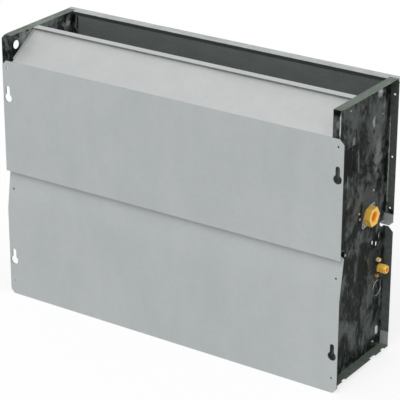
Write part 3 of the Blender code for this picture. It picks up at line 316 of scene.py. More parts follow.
class EdgeWearAndHighlight(Effect):
    """A lighter or darker line along edges and folds where they are bare or rubbed; on the trays it is also a painted
    highlight where the folds catch the light.
    """

    title = "edge_wear_and_highlight"
    takes = {"Vector": "Vector", "Color": "Color", "Edge": "Color", "Radius": "Float", "Amount": "Float"}
    gives = {"Color": "Color"}

    def wire(self, graph: Graph, given: Outputs) -> dict[str, Socket]:
        """Compares the surface with its rounded self and breaks the line up with noise.

        Args:
            graph: The group's graph.
            given: The sockets that carry the group's inputs.

        Returns:
            The socket of each output by name.
        """
        rounded = graph.add("ShaderNodeBevel", {"Radius": given["Radius"]}, samples=6)
        straight = graph.add("ShaderNodeNewGeometry")
        turned = graph.add("ShaderNodeVectorMath", {0: rounded.outputs[0], 1: straight.outputs["Normal"]},
                           operation="DOT_PRODUCT")
        line = graph.remap(graph.math("SUBTRACT", 1.0, turned.outputs["Value"]), 0.02, 0.22)
        broken = graph.remap(graph.noise(given["Vector"], 90.0, 3.0), 0.32, 0.6)
        mask = graph.math("MULTIPLY", graph.math("MULTIPLY", line, broken), given["Amount"])
        return {"Color": graph.blend(mask, given["Color"], given["Edge"])}


class Dust(Effect):
    """Dust that settles on what faces up; in the trays' finish it stands for painted top light, an even olive
    lightening of faces that look up.
    """

    title = "settled_dust"
    takes = {"Vector": "Vector", "Color": "Color", "Dust": "Color", "Amount": "Float", "Even": "Float"}
    gives = {"Color": "Color"}

    def wire(self, graph: Graph, given: Outputs) -> dict[str, Socket]:
        """The upward share of the normal, broken up with noise, lays the dust colour on.

        Args:
            graph: The group's graph.
            given: The sockets that carry the group's inputs.

        Returns:
            The socket of each output by name.
        """
        normal = graph.add("ShaderNodeNewGeometry").outputs["Normal"]
        up = graph.remap(graph.add("ShaderNodeSeparateXYZ", {0: normal}).outputs["Z"], 0.35, 1.0)
        patch = graph.remap(graph.noise(given["Vector"], 24.0, 5.0, 0.65), 0.3, 0.75)
        cover = graph.math("MAXIMUM", patch, given["Even"])
        mask = graph.math("MULTIPLY", graph.math("MULTIPLY", up, cover), given["Amount"])
        return {"Color": graph.blend(mask, given["Color"], given["Dust"])}


class Patch(Effect):
    """One soft-edged place, such as a haze, a discoloured spot, a painted highlight, or the painted shade in a
    pressed pocket.
    """

    title = "soft_patch"
    takes = {"Vector": "Vector", "Color": "Color", "Tone": "Color", "Center": "Vector", "Reach": "Vector",
             "Soft": "Float", "Square": "Float", "Amount": "Float"}
    gives = {"Color": "Color"}

    def wire(self, graph: Graph, given: Outputs) -> dict[str, Socket]:
        """The distance from the centre, round or square, fades the tone out, with a ragged border.

        Args:
            graph: The group's graph.
            given: The sockets that carry the group's inputs.

        Returns:
            The socket of each output by name.
        """
        away = graph.vector("SUBTRACT", given["Vector"], given["Center"])
        scaled = graph.vector("ABSOLUTE", graph.vector("DIVIDE", away, given["Reach"]))
        parts = graph.add("ShaderNodeSeparateXYZ", {0: scaled}).outputs
        widest = graph.math("MAXIMUM", parts[0], graph.math("MAXIMUM", parts[1], parts[2]))
        length = graph.add("ShaderNodeVectorMath", {0: scaled}, operation="LENGTH").outputs["Value"]
        gap = graph.math("SUBTRACT", widest, length)
        distance = graph.math("MULTIPLY_ADD", gap, given["Square"], length)
        ragged = graph.math("SUBTRACT", graph.noise(given["Vector"], 70.0, 4.0, 0.6), 0.5)
        torn = graph.math("MULTIPLY_ADD", graph.math("MULTIPLY", ragged, 3.2), given["Soft"], distance)
        mask = graph.remap(torn, graph.math("SUBTRACT", 1.0, given["Soft"]), 1.0, given["Amount"], 0.0)
        return {"Color": graph.blend(mask, given["Color"], given["Tone"])}


# Finishes


@dataclass(frozen=True)
class Finish(ABC):
    """What every finish has: its own name, the record's slot, and a material made once."""

    name: str
    slot: str

    @abstractmethod
    def paint(self, graph: Graph) -> dict[str, object]:
        """Adds the finish's nodes.

        Args:
            graph: The material's graph.

        Returns:
            What goes into each input of the material's shader.
        """

    def material(self) -> bpy.types.Material:
        """The finish's material, made at its first use.

        Returns:
            The material.
        """
        found = bpy.data.materials.get(self.name)
        if found:
            return found
        made = bpy.data.materials.new(self.name)
        made.use_nodes = True
        graph = Graph(made.node_tree)
        graph.fill(made.node_tree.nodes["Principled BSDF"], self.paint(graph))
        return made


@dataclass(frozen=True)
class ZincSheet(Finish):
    """Galvanised sheet: mottled zinc with spangle, rolled grain, bare bright edges and some dust. On the trays the
    edge lines are partly painted highlights on the folds, and the dust is painted top light.
    """

    dark: Colour
    light: Colour
    metallic: float = 0.35
    gloss: Pair = (0.38, 0.5)
    patch: float = 14.0
    stretch: Triple = (1.0, 1.0, 0.45)
    contrast: Pair = (0.42, 0.66)
    spangle: float = 0.12
    spangle_scale: float = 110.0
    edge: Colour = (0.5, 0.52, 0.52)
    wear: float = 0.5
    wear_radius: float = 0.7 * MM
    dust: float = 0.12
    dust_colour: Colour = (0.33, 0.32, 0.3)
    dust_and_top_light_even: float = 0.0
    grain_depth: float = 0.03 * MM
    sheen: float = 0.5

    def tone(self, graph: Graph, place: Socket) -> Socket:
        """The sheet's own colour at a place, before flakes, wear and dust."""
        return Mottle().use(graph, vector=place, stretch=self.stretch, scale=self.patch, low=self.contrast[0],
                            high=self.contrast[1], dark=self.dark, light=self.light)["Color"]

    def paint(self, graph: Graph) -> dict[str, object]:
        """Patches, flakes, edges and dust colour the sheet; grain gives its roughness and bump.

        Args:
            graph: The material's graph.

        Returns:
            What goes into each input of the material's shader.
        """
        place = graph.place()
        flakes = Spangle().use(graph, vector=place, scale=self.spangle_scale, color=self.tone(graph, place),
                               amount=self.spangle)
        edges = EdgeWearAndHighlight().use(graph, vector=place, color=flakes["Color"], edge=self.edge,
                               radius=self.wear_radius, amount=self.wear)
        dusty = Dust().use(graph, vector=place, color=edges["Color"], dust=self.dust_colour, amount=self.dust,
                           even=self.dust_and_top_light_even)
        grain = Grain().use(graph, vector=place, stretch=(1.0, 1.0, 0.25), scale=900.0,
                            low=self.gloss[0], high=self.gloss[1])
        return {"Base Color": dusty["Color"], "Roughness": grain["Roughness"], "Metallic": self.metallic,
                "Specular IOR Level": self.sheen, "Normal": graph.bump(grain["Height"], self.grain_depth, 0.5)}


@dataclass(frozen=True)
class StainAndPaintedLight:
    """A place on a sheet with a tone of its own: a discoloured spot, or painted light such as a highlight, a shadow,
    or a face lightened where it lies in shade.
    """

    centre: Triple
    reach: Triple
    tone: Colour
    soft: float = 0.6
    square: float = 0.0
    amount: float = 0.7


@dataclass(frozen=True)
class TrayZinc(ZincSheet):
    """Dark oily galvanised sheet: clouds, running smears, pale flecks, a few larger discoloured patches, and painted
    light: highlights on folds and edges, shadows, and faces lightened where they lie in shade.
    """

    smear: Colour = (0.16, 0.17, 0.165)
    smear_stretch: Triple = (1.0, 1.0, 0.16)
    smear_range: Pair = (0.52, 0.7)
    fleck: Colour = (0.42, 0.44, 0.43)
    fleck_range: Pair = (0.64, 0.74)
    stains_and_painted_light: tuple[StainAndPaintedLight, ...] = ()

    def tone(self, graph: Graph, place: Socket) -> Socket:
        """Clouds, then smears and flecks, then the listed discoloured patches and painted light over them.

        Args:
            graph: The material's graph.
            place: The coordinates that the patterns read.

        Returns:
            The colour.
        """
        colour = super().tone(graph, place)
        colour = Mottle().use(graph, vector=place, stretch=self.smear_stretch, scale=75.0, low=self.smear_range[0],
                              high=self.smear_range[1], dark=colour, light=self.smear)["Color"]
        colour = Mottle().use(graph, vector=place, stretch=(1.0, 1.0, 0.5), scale=230.0, low=self.fleck_range[0],
                              high=self.fleck_range[1], dark=colour, light=self.fleck)["Color"]
        for stain_and_light in self.stains_and_painted_light:
            colour = Patch().use(graph, vector=place, color=colour, tone=stain_and_light.tone, center=stain_and_light.centre,
                                 reach=stain_and_light.reach, soft=stain_and_light.soft, square=stain_and_light.square,
                                 amount=stain_and_light.amount)["Color"]
        return colour


@dataclass(frozen=True)
class BareMetal(Finish):
    """Solid metal stock such as brass, copper or steel, with tarnish and drawn or cast grain."""

    bright: Colour
    tarnish: Colour
    metallic: float = 1.0
    gloss: Pair = (0.22, 0.36)
    patch: float = 60.0
    stretch: Triple = (1.0, 1.0, 1.0)
    contrast: Pair = (0.4, 0.75)
    edge: Colour = (0.9, 0.75, 0.45)
    wear: float = 0.4
    wear_radius: float = 0.6 * MM
    grain_scale: float = 1500.0
    grain_depth: float = 0.02 * MM

    def paint(self, graph: Graph) -> dict[str, object]:
        """Tarnish patches and rubbed edges colour the metal; grain gives its roughness and bump.

        Args:
            graph: The material's graph.

        Returns:
            What goes into each input of the material's shader.
        """
        place = graph.place()
        patches = Mottle().use(graph, vector=place, stretch=self.stretch, scale=self.patch,
                               low=self.contrast[0], high=self.contrast[1], dark=self.bright,
                               light=self.tarnish)
        edges = EdgeWearAndHighlight().use(graph, vector=place, color=patches["Color"], edge=self.edge,
                               radius=self.wear_radius, amount=self.wear)
        grain = Grain().use(graph, vector=place, stretch=self.stretch, scale=self.grain_scale,
                            low=self.gloss[0], high=self.gloss[1])
        return {"Base Color": edges["Color"], "Roughness": grain["Roughness"], "Metallic": self.metallic,
                "Normal": graph.bump(grain["Height"], self.grain_depth, 0.5)}


@dataclass(frozen=True)
class Moulded(Finish):
    """Paint, plastic or rubber: an even colour with mould texture, scuffed edges and dust."""

    deep: Colour
    pale: Colour
    gloss: Pair = (0.4, 0.55)
    patch: float = 30.0
    edge: Colour = (0.2, 0.2, 0.2)
    wear: float = 0.3
    dust: float = 0.25
    dust_colour: Colour = (0.3, 0.29, 0.27)
    grain_scale: float = 1800.0
    grain_depth: float = 0.05 * MM

    def paint(self, graph: Graph) -> dict[str, object]:
        """Faint patches, scuffs and dust colour the piece; mould texture gives roughness and bump.

        Args:
            graph: The material's graph.

        Returns:
            What goes into each input of the material's shader.
        """
        place = graph.place()
        patches = Mottle().use(graph, vector=place, stretch=(1.0, 1.0, 1.0), scale=self.patch,
                               low=0.3, high=0.7, dark=self.deep, light=self.pale)
        edges = EdgeWearAndHighlight().use(graph, vector=place, color=patches["Color"], edge=self.edge, radius=0.8 * MM,
                               amount=self.wear)
        dusty = Dust().use(graph, vector=place, color=edges["Color"], dust=self.dust_colour, amount=self.dust,
                           even=0.0)
        grain = Grain().use(graph, vector=place, stretch=(1.0, 1.0, 1.0), scale=self.grain_scale,
                            low=self.gloss[0], high=self.gloss[1])
        return {"Base Color": dusty["Color"], "Roughness": grain["Roughness"],
                "Normal": graph.bump(grain["Height"], self.grain_depth, 0.6)}


@dataclass(frozen=True)
class CellFoam(Finish):
    """Closed-cell foam with a pitted skin."""

    skin: Colour
    pit: Colour
    cell: float = 420.0

    def paint(self, graph: Graph) -> dict[str, object]:
        """Cells make the pits, and broad patches change the skin's tone.

        Args:
            graph: The material's graph.

        Returns:
            What goes into each input of the material's shader.
        """
        place = graph.place()
        cells = graph.add("ShaderNodeTexVoronoi", {"Vector": place, "Scale": self.cell}, feature="F1")
        bowl = graph.remap(cells.outputs["Distance"], 0.05, 0.6)
        patches = Mottle().use(graph, vector=place, stretch=(0.5, 1.0, 1.0), scale=18.0, low=0.3, high=0.7,
                               dark=self.skin, light=tuple(1.25 * part for part in self.skin))
        tone = graph.blend(graph.remap(cells.outputs["Distance"], 0.0, 0.35), self.pit, patches["Color"])
        return {"Base Color": tone, "Roughness": graph.remap(bowl, 0.0, 1.0, 0.98, 0.82),
                "Normal": graph.bump(bowl, 0.35 * MM, 0.7)}


@dataclass(frozen=True)
class FilterCloth(Finish):
    """Woven filter media: fine crossing threads, greyer where dust collects."""

    thread: Colour
    gap: Colour
    pitch: float = 1.4 * MM

    def paint(self, graph: Graph) -> dict[str, object]:
        """Two wave textures cross to make the weave, and dust patches lie over it.

        Args:
            graph: The material's graph.

        Returns:
            What goes into each input of the material's shader.
        """
        place = graph.place()
        turns = 1.0 / (self.pitch * 6.0)
        feeds = {"Vector": place, "Scale": turns, "Distortion": 0.6, "Detail": 1.0}
        threads = [graph.add("ShaderNodeTexWave", feeds, wave_type="BANDS", bands_direction=direction).outputs["Fac"]
                   for direction in "XY"]
        weave = graph.math("MAXIMUM", *threads)
        colour = graph.blend(weave, self.gap, self.thread)
        dusty = Dust().use(graph, vector=place, color=colour, dust=(0.36, 0.35, 0.33), amount=0.5, even=0.0)
        return {"Base Color": dusty["Color"], "Roughness": graph.remap(weave, 0.0, 1.0, 0.95, 0.8),
                "Normal": graph.bump(weave, 0.3 * MM, 0.8)}


WEB_X = 0.371
WEB_REACH = 0.03
# Marks on both webs: mostly discolouring, with the painted light among them noted line by line.
WEB_STAINS_AND_LIGHT = (
    (0.176, 0.455, 0.034, 0.10, (0.15, 0.16, 0.158), 0.8),
    (0.176, 0.413, 0.016, 0.05, (0.24, 0.25, 0.25), 0.7),
    (0.1134, 0.455, 0.024, 0.06, (0.004, 0.006, 0.005), 0.7, 0.0, 0.8),
    (0.2005, 0.53, 0.006, 0.022, (0.003, 0.005, 0.004), 0.6, 0.0, 0.9),
    (0.175, 0.546, 0.012, 0.017, (0.62, 0.64, 0.62), 0.6, 0.0, 0.9),
    (0.193, 0.51, 0.006, 0.034, (0.26, 0.27, 0.27), 0.8),
    (0.154, 0.4895, 0.007, 0.012, (0.42, 0.44, 0.43), 0.8, 0.0, 0.9),
    (0.077, 0.4686, 0.005, 0.022, (0.28, 0.29, 0.29), 0.6),
    (0.0995, 0.428, 0.0034, 0.03, (0.16, 0.17, 0.165), 0.6, 0.0, 0.9),
    # Painted shade: a dark square patch for the shade inside a pressed pocket.
    (0.0695, 0.436, 0.0245, 0.031, (0.002, 0.003, 0.0025), 0.1, 1.0, 1.0),
    (0.061, 0.396, 0.003, 0.018, (0.3, 0.31, 0.3), 0.7),
    (0.1445, 0.338, 0.03, 0.026, (0.075, 0.08, 0.078), 0.3, 0.6, 0.8),
    (0.199, 0.318, 0.010, 0.02, (0.2, 0.21, 0.205), 0.8),
    (0.197, 0.35, 0.006, 0.04, (0.1, 0.105, 0.103), 0.8),
    # Painted shadow: a dark band down the web just behind the front flange.
    (0.052, 0.31, 0.016, 0.14, (0.003, 0.005, 0.004), 0.7, 0.3, 0.85),
    (0.055, 0.19, 0.018, 0.03, (0.13, 0.14, 0.135), 0.9),
    (0.12, 0.15, 0.05, 0.05, (0.004, 0.006, 0.005), 0.8, 0.0, 0.7),
    (0.045, 0.09, 0.02, 0.035, (0.09, 0.1, 0.095), 0.9),
    (0.205, 0.115, 0.005, 0.05, (0.2, 0.21, 0.205), 0.7),
    (0.191, 0.243, 0.003, 0.008, (0.5, 0.52, 0.51), 0.6),
    (0.183, 0.262, 0.006, 0.014, (0.2, 0.21, 0.2), 0.8),
)
# Tray zinc: its dust settings paint top light, an olive lightening of every face that looks up such as the top
# flanges, and its wide edge lines are partly painted highlights along the folds.
TRAY_ZINC = TrayZinc(
    "dark_tray_zinc", "side_galvanised", dark=(0.006, 0.010, 0.008), light=(0.094, 0.106, 0.1), metallic=0.18,
    gloss=(0.34, 0.52), patch=21.0, stretch=(1.0, 1.0, 0.62), contrast=(0.44, 0.59), spangle=0.3, sheen=0.03,
    spangle_scale=160.0, edge=(0.36, 0.38, 0.37), wear=0.6, wear_radius=1.6 * MM, dust=0.95,
    dust_colour=(0.17, 0.21, 0.17), dust_and_top_light_even=0.75, smear=(0.13, 0.14, 0.135), smear_stretch=(1.0, 1.0, 0.4),
    smear_range=(0.54, 0.7), fleck_range=(0.66, 0.76),
    stains_and_painted_light=(
        *(StainAndPaintedLight((WEB_X, y, z), (WEB_REACH, wide, tall), *look) for y, z, wide, tall, *look in WEB_STAINS_AND_LIGHT),
        # Painted light: the rear flange is painted lighter over its whole height to stand for light reaching it, and
        # the next mark is a painted highlight along its fold.
        StainAndPaintedLight((0.383, 0.21, 0.14), (0.011, 0.004, 0.16), (0.115, 0.13, 0.122), 0.2, 1.0, 0.85),
        StainAndPaintedLight((0.383, 0.21, 0.43), (0.011, 0.004, 0.15), (0.1, 0.114, 0.106), 0.2, 1.0, 0.85),
        StainAndPaintedLight((0.375, 0.2095, 0.39), (0.0014, 0.004, 0.11), (0.36, 0.4, 0.36), 0.5, 1.0, 0.95),
        # Front flange: a painted highlight along its cut edge, then a grey band across its middle and a black patch
        # at its top.
        StainAndPaintedLight((0.3849, 0.001, 0.531), (0.0014, 0.004, 0.026), (0.5, 0.53, 0.5), 0.4, 1.0, 0.95),
        StainAndPaintedLight((0.380, 0.001, 0.532), (0.006, 0.004, 0.016), (0.15, 0.16, 0.155), 0.9, 0.3, 0.9),
        StainAndPaintedLight((0.376, 0.001, 0.556), (0.012, 0.004, 0.011), (0.002, 0.003, 0.002), 0.4, 0.6, 0.9),
        # Painted light: three pale patches lighten the left web near its top, where it lies in shade.
        StainAndPaintedLight((-WEB_X, 0.181, 0.538), (0.03, 0.014, 0.02), (0.6, 0.63, 0.63), 0.9, 0.0, 0.9),
        StainAndPaintedLight((-WEB_X, 0.11, 0.555), (0.03, 0.06, 0.028), (0.34, 0.37, 0.355), 0.7, 0.0, 0.85),
        StainAndPaintedLight((-WEB_X, 0.04, 0.545), (0.02, 0.03, 0.03), (0.34, 0.36, 0.355), 0.9),
    ),
)
END_TRIM_ZINC = TrayZinc(
    "end_trim_zinc", "side_galvanised", dark=(0.006, 0.009, 0.0075), light=(0.16, 0.17, 0.165), metallic=0.3,
    patch=60.0, stretch=(1.0, 1.0, 0.35), contrast=(0.45, 0.58), sheen=0.12, edge=(0.3, 0.32, 0.31), wear=0.3,
    smear=(0.5, 0.52, 0.51), smear_range=(0.5, 0.64),
)
PANEL_ZINC = ZincSheet(
    "satin_panel_zinc", "panel_galvanised", dark=(0.405, 0.43, 0.435), light=(0.445, 0.47, 0.475), metallic=0.25,
    gloss=(0.42, 0.55), patch=5.0, stretch=(1.0, 1.0, 0.5), contrast=(0.3, 0.7), spangle=0.03,
    edge=(0.3, 0.32, 0.32), wear=0.35, dust=0.0,
)
# Painted light: the same zinc as the wall panels, painted lighter because the slope faces up into the light.
BAFFLE_ZINC = ZincSheet(
    "baffle_zinc", "panel_galvanised", dark=(0.46, 0.475, 0.475), light=(0.51, 0.525, 0.525), metallic=0.2,
    gloss=(0.42, 0.55), patch=6.0, stretch=(0.6, 1.0, 1.0), contrast=(0.3, 0.7), spangle=0.03,
    edge=(0.46, 0.48, 0.48), wear=0.3, dust=0.05,
)
ROOM_ZINC = TrayZinc(
    "room_panel_zinc", "inner_galvanised", dark=(0.36, 0.385, 0.38), light=(0.47, 0.5, 0.495), metallic=0.3,
    gloss=(0.4, 0.52), patch=16.0, contrast=(0.32, 0.72), spangle=0.14, spangle_scale=90.0,
    edge=(0.6, 0.62, 0.61), wear=0.3, dust=0.1, smear=(0.52, 0.55, 0.545), fleck=(0.6, 0.62, 0.61),
    # Painted shadow: a dark line along the lining strip's front leg, under the far top flange.
    stains_and_painted_light=(StainAndPaintedLight((0.0, 0.2015, 0.5555), (0.5, 0.004, 0.0037), (0.055, 0.062, 0.06), 0.05, 1.0, 1.0),),
)
INNER_ZINC = ZincSheet(
    "inner_zinc", "inner_galvanised", dark=(0.26, 0.28, 0.28), light=(0.42, 0.44, 0.44), metallic=0.5,
    gloss=(0.32, 0.48), patch=18.0, contrast=(0.35, 0.7), spangle=0.3, spangle_scale=90.0, dust=0.2,
)
WHEEL_ZINC = ZincSheet(
    "wheel_zinc", "fan_steel", dark=(0.2, 0.21, 0.215), light=(0.36, 0.37, 0.38), metallic=0.7,
    gloss=(0.3, 0.45), patch=40.0, contrast=(0.35, 0.7), spangle=0.15, dust=0.0, wear_radius=0.5 * MM,
)
FIN_METAL = BareMetal(
    "fin_aluminium", "fins", bright=(0.68, 0.7, 0.72), tarnish=(0.5, 0.52, 0.53), gloss=(0.3, 0.42),
    patch=20.0, edge=(0.8, 0.8, 0.8), wear=0.0,
)
COPPER = BareMetal(
    "tube_copper", "copper", bright=(0.76, 0.36, 0.2), tarnish=(0.42, 0.19, 0.11), gloss=(0.2, 0.38),
    patch=45.0, contrast=(0.45, 0.8), edge=(0.8, 0.45, 0.3), wear=0.2,
)
BRAZING = BareMetal(
    "brazed_joint", "copper", bright=(0.66, 0.5, 0.28), tarnish=(0.25, 0.14, 0.08), gloss=(0.35, 0.5),
    patch=150.0, contrast=(0.35, 0.7), edge=(0.7, 0.55, 0.35), wear=0.1,
)
BRASS = BareMetal(
    "cast_brass", "brass", bright=(1.0, 0.62, 0.1), tarnish=(0.95, 0.48, 0.05), metallic=0.25,
    gloss=(0.26, 0.4), patch=55.0, contrast=(0.45, 0.75), edge=(0.98, 0.76, 0.34), wear=0.7,
)
BORE_BRASS = BareMetal(
    "bore_brass", "brass", bright=(1.0, 0.36, 0.03), tarnish=(0.85, 0.2, 0.015), metallic=0.2,
    gloss=(0.3, 0.45), patch=90.0, edge=(1.0, 0.5, 0.1), wear=0.3,
)
PALE_BRASS = BareMetal(
    "valve_brass", "brass", bright=(0.92, 0.76, 0.42), tarnish=(0.7, 0.5, 0.22), metallic=0.35, gloss=(0.25, 0.38),
    patch=120.0, edge=(0.95, 0.8, 0.5), wear=0.5,
)
BROWN_BRASS = BareMetal(
    "drain_brass", "brass", bright=(0.72, 0.42, 0.11), tarnish=(0.42, 0.2, 0.05), metallic=0.4, gloss=(0.3, 0.42),
    patch=120.0, edge=(0.8, 0.55, 0.25), wear=0.5,
)
STEEL = BareMetal(
    "plain_steel", "shaft_steel", bright=(0.55, 0.55, 0.55), tarnish=(0.33, 0.33, 0.34), gloss=(0.22, 0.4),
    patch=70.0, stretch=(0.3, 1.0, 1.0), edge=(0.75, 0.75, 0.75), wear=0.3,
)
SCREW_ZINC = BareMetal(
    "screw_zinc", "shaft_steel", bright=(0.42, 0.43, 0.43), tarnish=(0.22, 0.23, 0.23), gloss=(0.3, 0.42),
    patch=200.0, edge=(0.7, 0.7, 0.7), wear=0.6, wear_radius=0.3 * MM,
)
MOTOR_PAINT = Moulded("motor_black", "motor_paint", deep=(0.018, 0.018, 0.02), pale=(0.032, 0.032, 0.034),
                      gloss=(0.35, 0.5), edge=(0.14, 0.14, 0.14), wear=0.6)
RUBBER = Moulded("black_rubber", "rubber", deep=(0.016, 0.016, 0.016), pale=(0.03, 0.03, 0.03),
                 gloss=(0.65, 0.85), wear=0.15, edge=(0.06, 0.06, 0.06))
DARK_PLASTIC = Moulded("dark_plastic", "frame_plastic", deep=(0.035, 0.036, 0.04), pale=(0.055, 0.056, 0.06),
                       gloss=(0.38, 0.5), edge=(0.13, 0.13, 0.14), wear=0.4)
PALE_PLASTIC = Moulded("pale_plastic", "terminal_plastic", deep=(0.66, 0.66, 0.63), pale=(0.74, 0.74, 0.72),
                       gloss=(0.35, 0.5), edge=(0.85, 0.85, 0.83), wear=0.3, dust=0.1)
LINING_FOAM = CellFoam("lining_foam", "foam", skin=(0.102, 0.116, 0.112), pit=(0.052, 0.059, 0.057))
GASKET_FOAM = CellFoam("gasket_foam", "foam", skin=(0.018, 0.02, 0.02), pit=(0.008, 0.009, 0.009))
SCORE_HIGHLIGHT_ZINC = BareMetal(
    "score_highlight_zinc", "side_galvanised", bright=(0.62, 0.64, 0.63), tarnish=(0.25, 0.27, 0.26), metallic=0.4,
    gloss=(0.25, 0.4), patch=160.0, edge=(0.8, 0.8, 0.8), wear=0.2,
)
MEDIA_CLOTH = FilterCloth("filter_cloth", "filter_media", thread=(0.6, 0.64, 0.66), gap=(0.22, 0.24, 0.25))


# Shapes


def middle(node: str) -> Vector:
    """The centre of a CAD node's box."""
    low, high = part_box(node)
    return (low + high) / 2


def girth(node: str) -> tuple[Vector, float]:
    """The centre and the radius of a node that is round about X."""
    low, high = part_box(node)
    return middle(node), (high.y - low.y) / 2


def meshed(bm: BMesh, name: str) -> bpy.types.Mesh:
    """Turns a shape into a mesh and frees it.

    Args:
        bm: The shape.
        name: The mesh's name.

    Returns:
        The mesh.
    """
    mesh = bpy.data.meshes.new(name)
    bm.to_mesh(mesh)
    bm.free()
    return mesh


def placed(name: str, data: bpy.types.ID) -> bpy.types.Object:
    """A new object in the scene that holds a mesh, a lamp or a camera.

    Args:
        name: The object's name.
        data: What it holds.

    Returns:
        The object.
    """
    made = bpy.data.objects.new(name, data)
    bpy.context.scene.collection.objects.link(made)
    return made


def finished(bm: BMesh, name: str, finish: Finish, body: str = CHASSIS,
             stands_for: Iterable[str] = (), smooth: float = 35.0, even: bool = False) -> bpy.types.Object:
    """Turns a finished shape into a piece of the unit.

    Args:
        bm: The shape, in metres and in place. It is freed.
        name: The piece's name.
        finish: What it is made of.
        body: The CAD body that it rides on.
        stands_for: CAD nodes that it replaces.
        smooth: Angle in degrees above which an edge stays sharp.
        even: Whether wide faces keep their own normals next to narrow rounded ones.

    Returns:
        The piece.
    """
    bmesh.ops.triangulate(bm, faces=[face for face in bm.faces if len(face.verts) > 4], ngon_method="EAR_CLIP")
    bmesh.ops.recalc_face_normals(bm, faces=bm.faces)
    mesh = meshed(bm, name)
    if "custom_normal" in mesh.attributes:
        mesh.attributes.remove(mesh.attributes["custom_normal"])
    mesh.shade_smooth()
    mesh.set_sharp_from_angle(angle=math.radians(smooth))
    mesh.materials.clear()
    mesh.materials.append(finish.material())
    piece = placed(name, mesh)
    if even:
        weights = piece.modifiers.new("even_faces", "WEIGHTED_NORMAL")
        weights.keep_sharp = True
        weights.weight = 100
    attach(piece, body)
    if stands_for:
        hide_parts(*stands_for)
    LOG.info("%s: %d faces, rides on %s", name, len(mesh.polygons), body)
    return piece


def merged(node: str) -> BMesh:
    """A merged copy of a CAD node with its flat faces joined.

    Args:
        node: The node's name.

    Returns:
        The copy.
    """
    bm = bmesh.new()
    bm.from_mesh(frame["nodes"][node].data)
    bmesh.ops.remove_doubles(bm, verts=bm.verts, dist=MERGE)
    bmesh.ops.dissolve_limit(bm, angle_limit=FLAT, verts=bm.verts, edges=bm.edges)
    return bm


def wide_beside(edge: BMEdge, width: float) -> bool:
    """Whether both faces at an edge are wider than a sheet's cut edge."""
    length = edge.calc_length()
    return all(face.calc_area() / length > width for face in edge.link_faces)


def folded_over(bm: BMesh) -> list[tuple[Vector, Vector]]:
    """The boxes of faces whose outline crosses itself.

    Args:
        bm: The shape.

    Returns:
        The low and high corner of each such face, a little enlarged.
    """
    bm.normal_update()
    covered: dict[BMFace, float] = {}
    for loops in bm.calc_loop_triangles():
        a, b, c = (loop.vert.co for loop in loops)
        face = loops[0].face
        covered[face] = covered.get(face, 0.0) + (b - a).cross(c - a).length / 2
    boxes = []
    for face, area in covered.items():
        if area - face.calc_area() > MOST_OVERLAP:
            parts = list(zip(*(vert.co for vert in face.verts)))
            boxes.append((Vector([min(part) - NEAR for part in parts]), Vector([max(part) + NEAR for part in parts])))
    return boxes


def bevel(bm: BMesh, edges: Sequence[BMEdge], offset: float, segments: int) -> None:
    """Rounds edges, but leaves square those whose rounding would fold a face over itself.

    Args:
        bm: The shape.
        edges: Its edges to round.
        offset: Width of the rounding on each face.
        segments: Faces across the rounding.
    """
    bm.edges.index_update()
    bm.edges.ensure_lookup_table()
    chosen = [edge.index for edge in edges]

    def rounded(shape: BMesh) -> None:
        """Rounds the chosen edges of a shape.

        Args:
            shape: The shape.
        """
        shape.edges.ensure_lookup_table()
        if chosen:
            bmesh.ops.bevel(shape, geom=[shape.edges[index] for index in chosen], offset=offset, offset_type="OFFSET",
                            segments=segments, profile=0.5, affect="EDGES", clamp_overlap=True, material=-1)

    for _ in range(BEVEL_TRIES):
        trial = bm.copy()
        rounded(trial)
        boxes = folded_over(trial)
        trial.free()
        halves = {index: (bm.edges[index].verts[0].co + bm.edges[index].verts[1].co) / 2 for index in chosen}
        chosen = [index for index in chosen if not any(
            all(low[i] < halves[index][i] < high[i] for i in range(3)) for low, high in boxes)]
    rounded(bm)


def sharp_edges(bm: BMesh, angle: float = 40.0) -> list[BMEdge]:
    """The edges of a shape that turn by more than an angle in degrees."""
    return [edge for edge in bm.edges if len(edge.link_faces) == 2 and edge.calc_face_angle() > math.radians(angle)]


def shift(bm: BMesh, grown: dict[str, list], along: Sequence[float]) -> None:
    """Moves the points that an extrusion made, given what it returned."""
    bmesh.ops.translate(bm, verts=[item for item in grown["geom"] if isinstance(item, BMVert)], vec=along)


def stamp(bm: BMesh, mesh: bpy.types.Mesh, place: Matrix) -> None:
    """Adds a placed copy of a mesh to a shape.

    Args:
        bm: The shape.
        mesh: What is copied.
        place: Where the copy goes.
    """
    start = len(bm.verts)
    bm.from_mesh(mesh)
    bm.verts.ensure_lookup_table()
    bmesh.ops.transform(bm, matrix=place, verts=bm.verts[start:])


def slab(name: str, rim: Iterable[Triple], along: Triple, corner: float, finish: Finish) -> None:
    """Makes a thin plate with broken edges.

    Args:
        name: The piece's name.
        rim: The corners of one face, in order.
        along: The way from that face to the other.
        corner: Width of the broken edges.
        finish: What it is made of.
    """
    bm = bmesh.new()
    face = bm.faces.new([bm.verts.new(point) for point in rim])
    shift(bm, bmesh.ops.extrude_face_region(bm, geom=[face]), along)
    bevel(bm, sharp_edges(bm), corner, 1)
    finished(bm, name, finish, smooth=SHEET_SHADING, even=True)


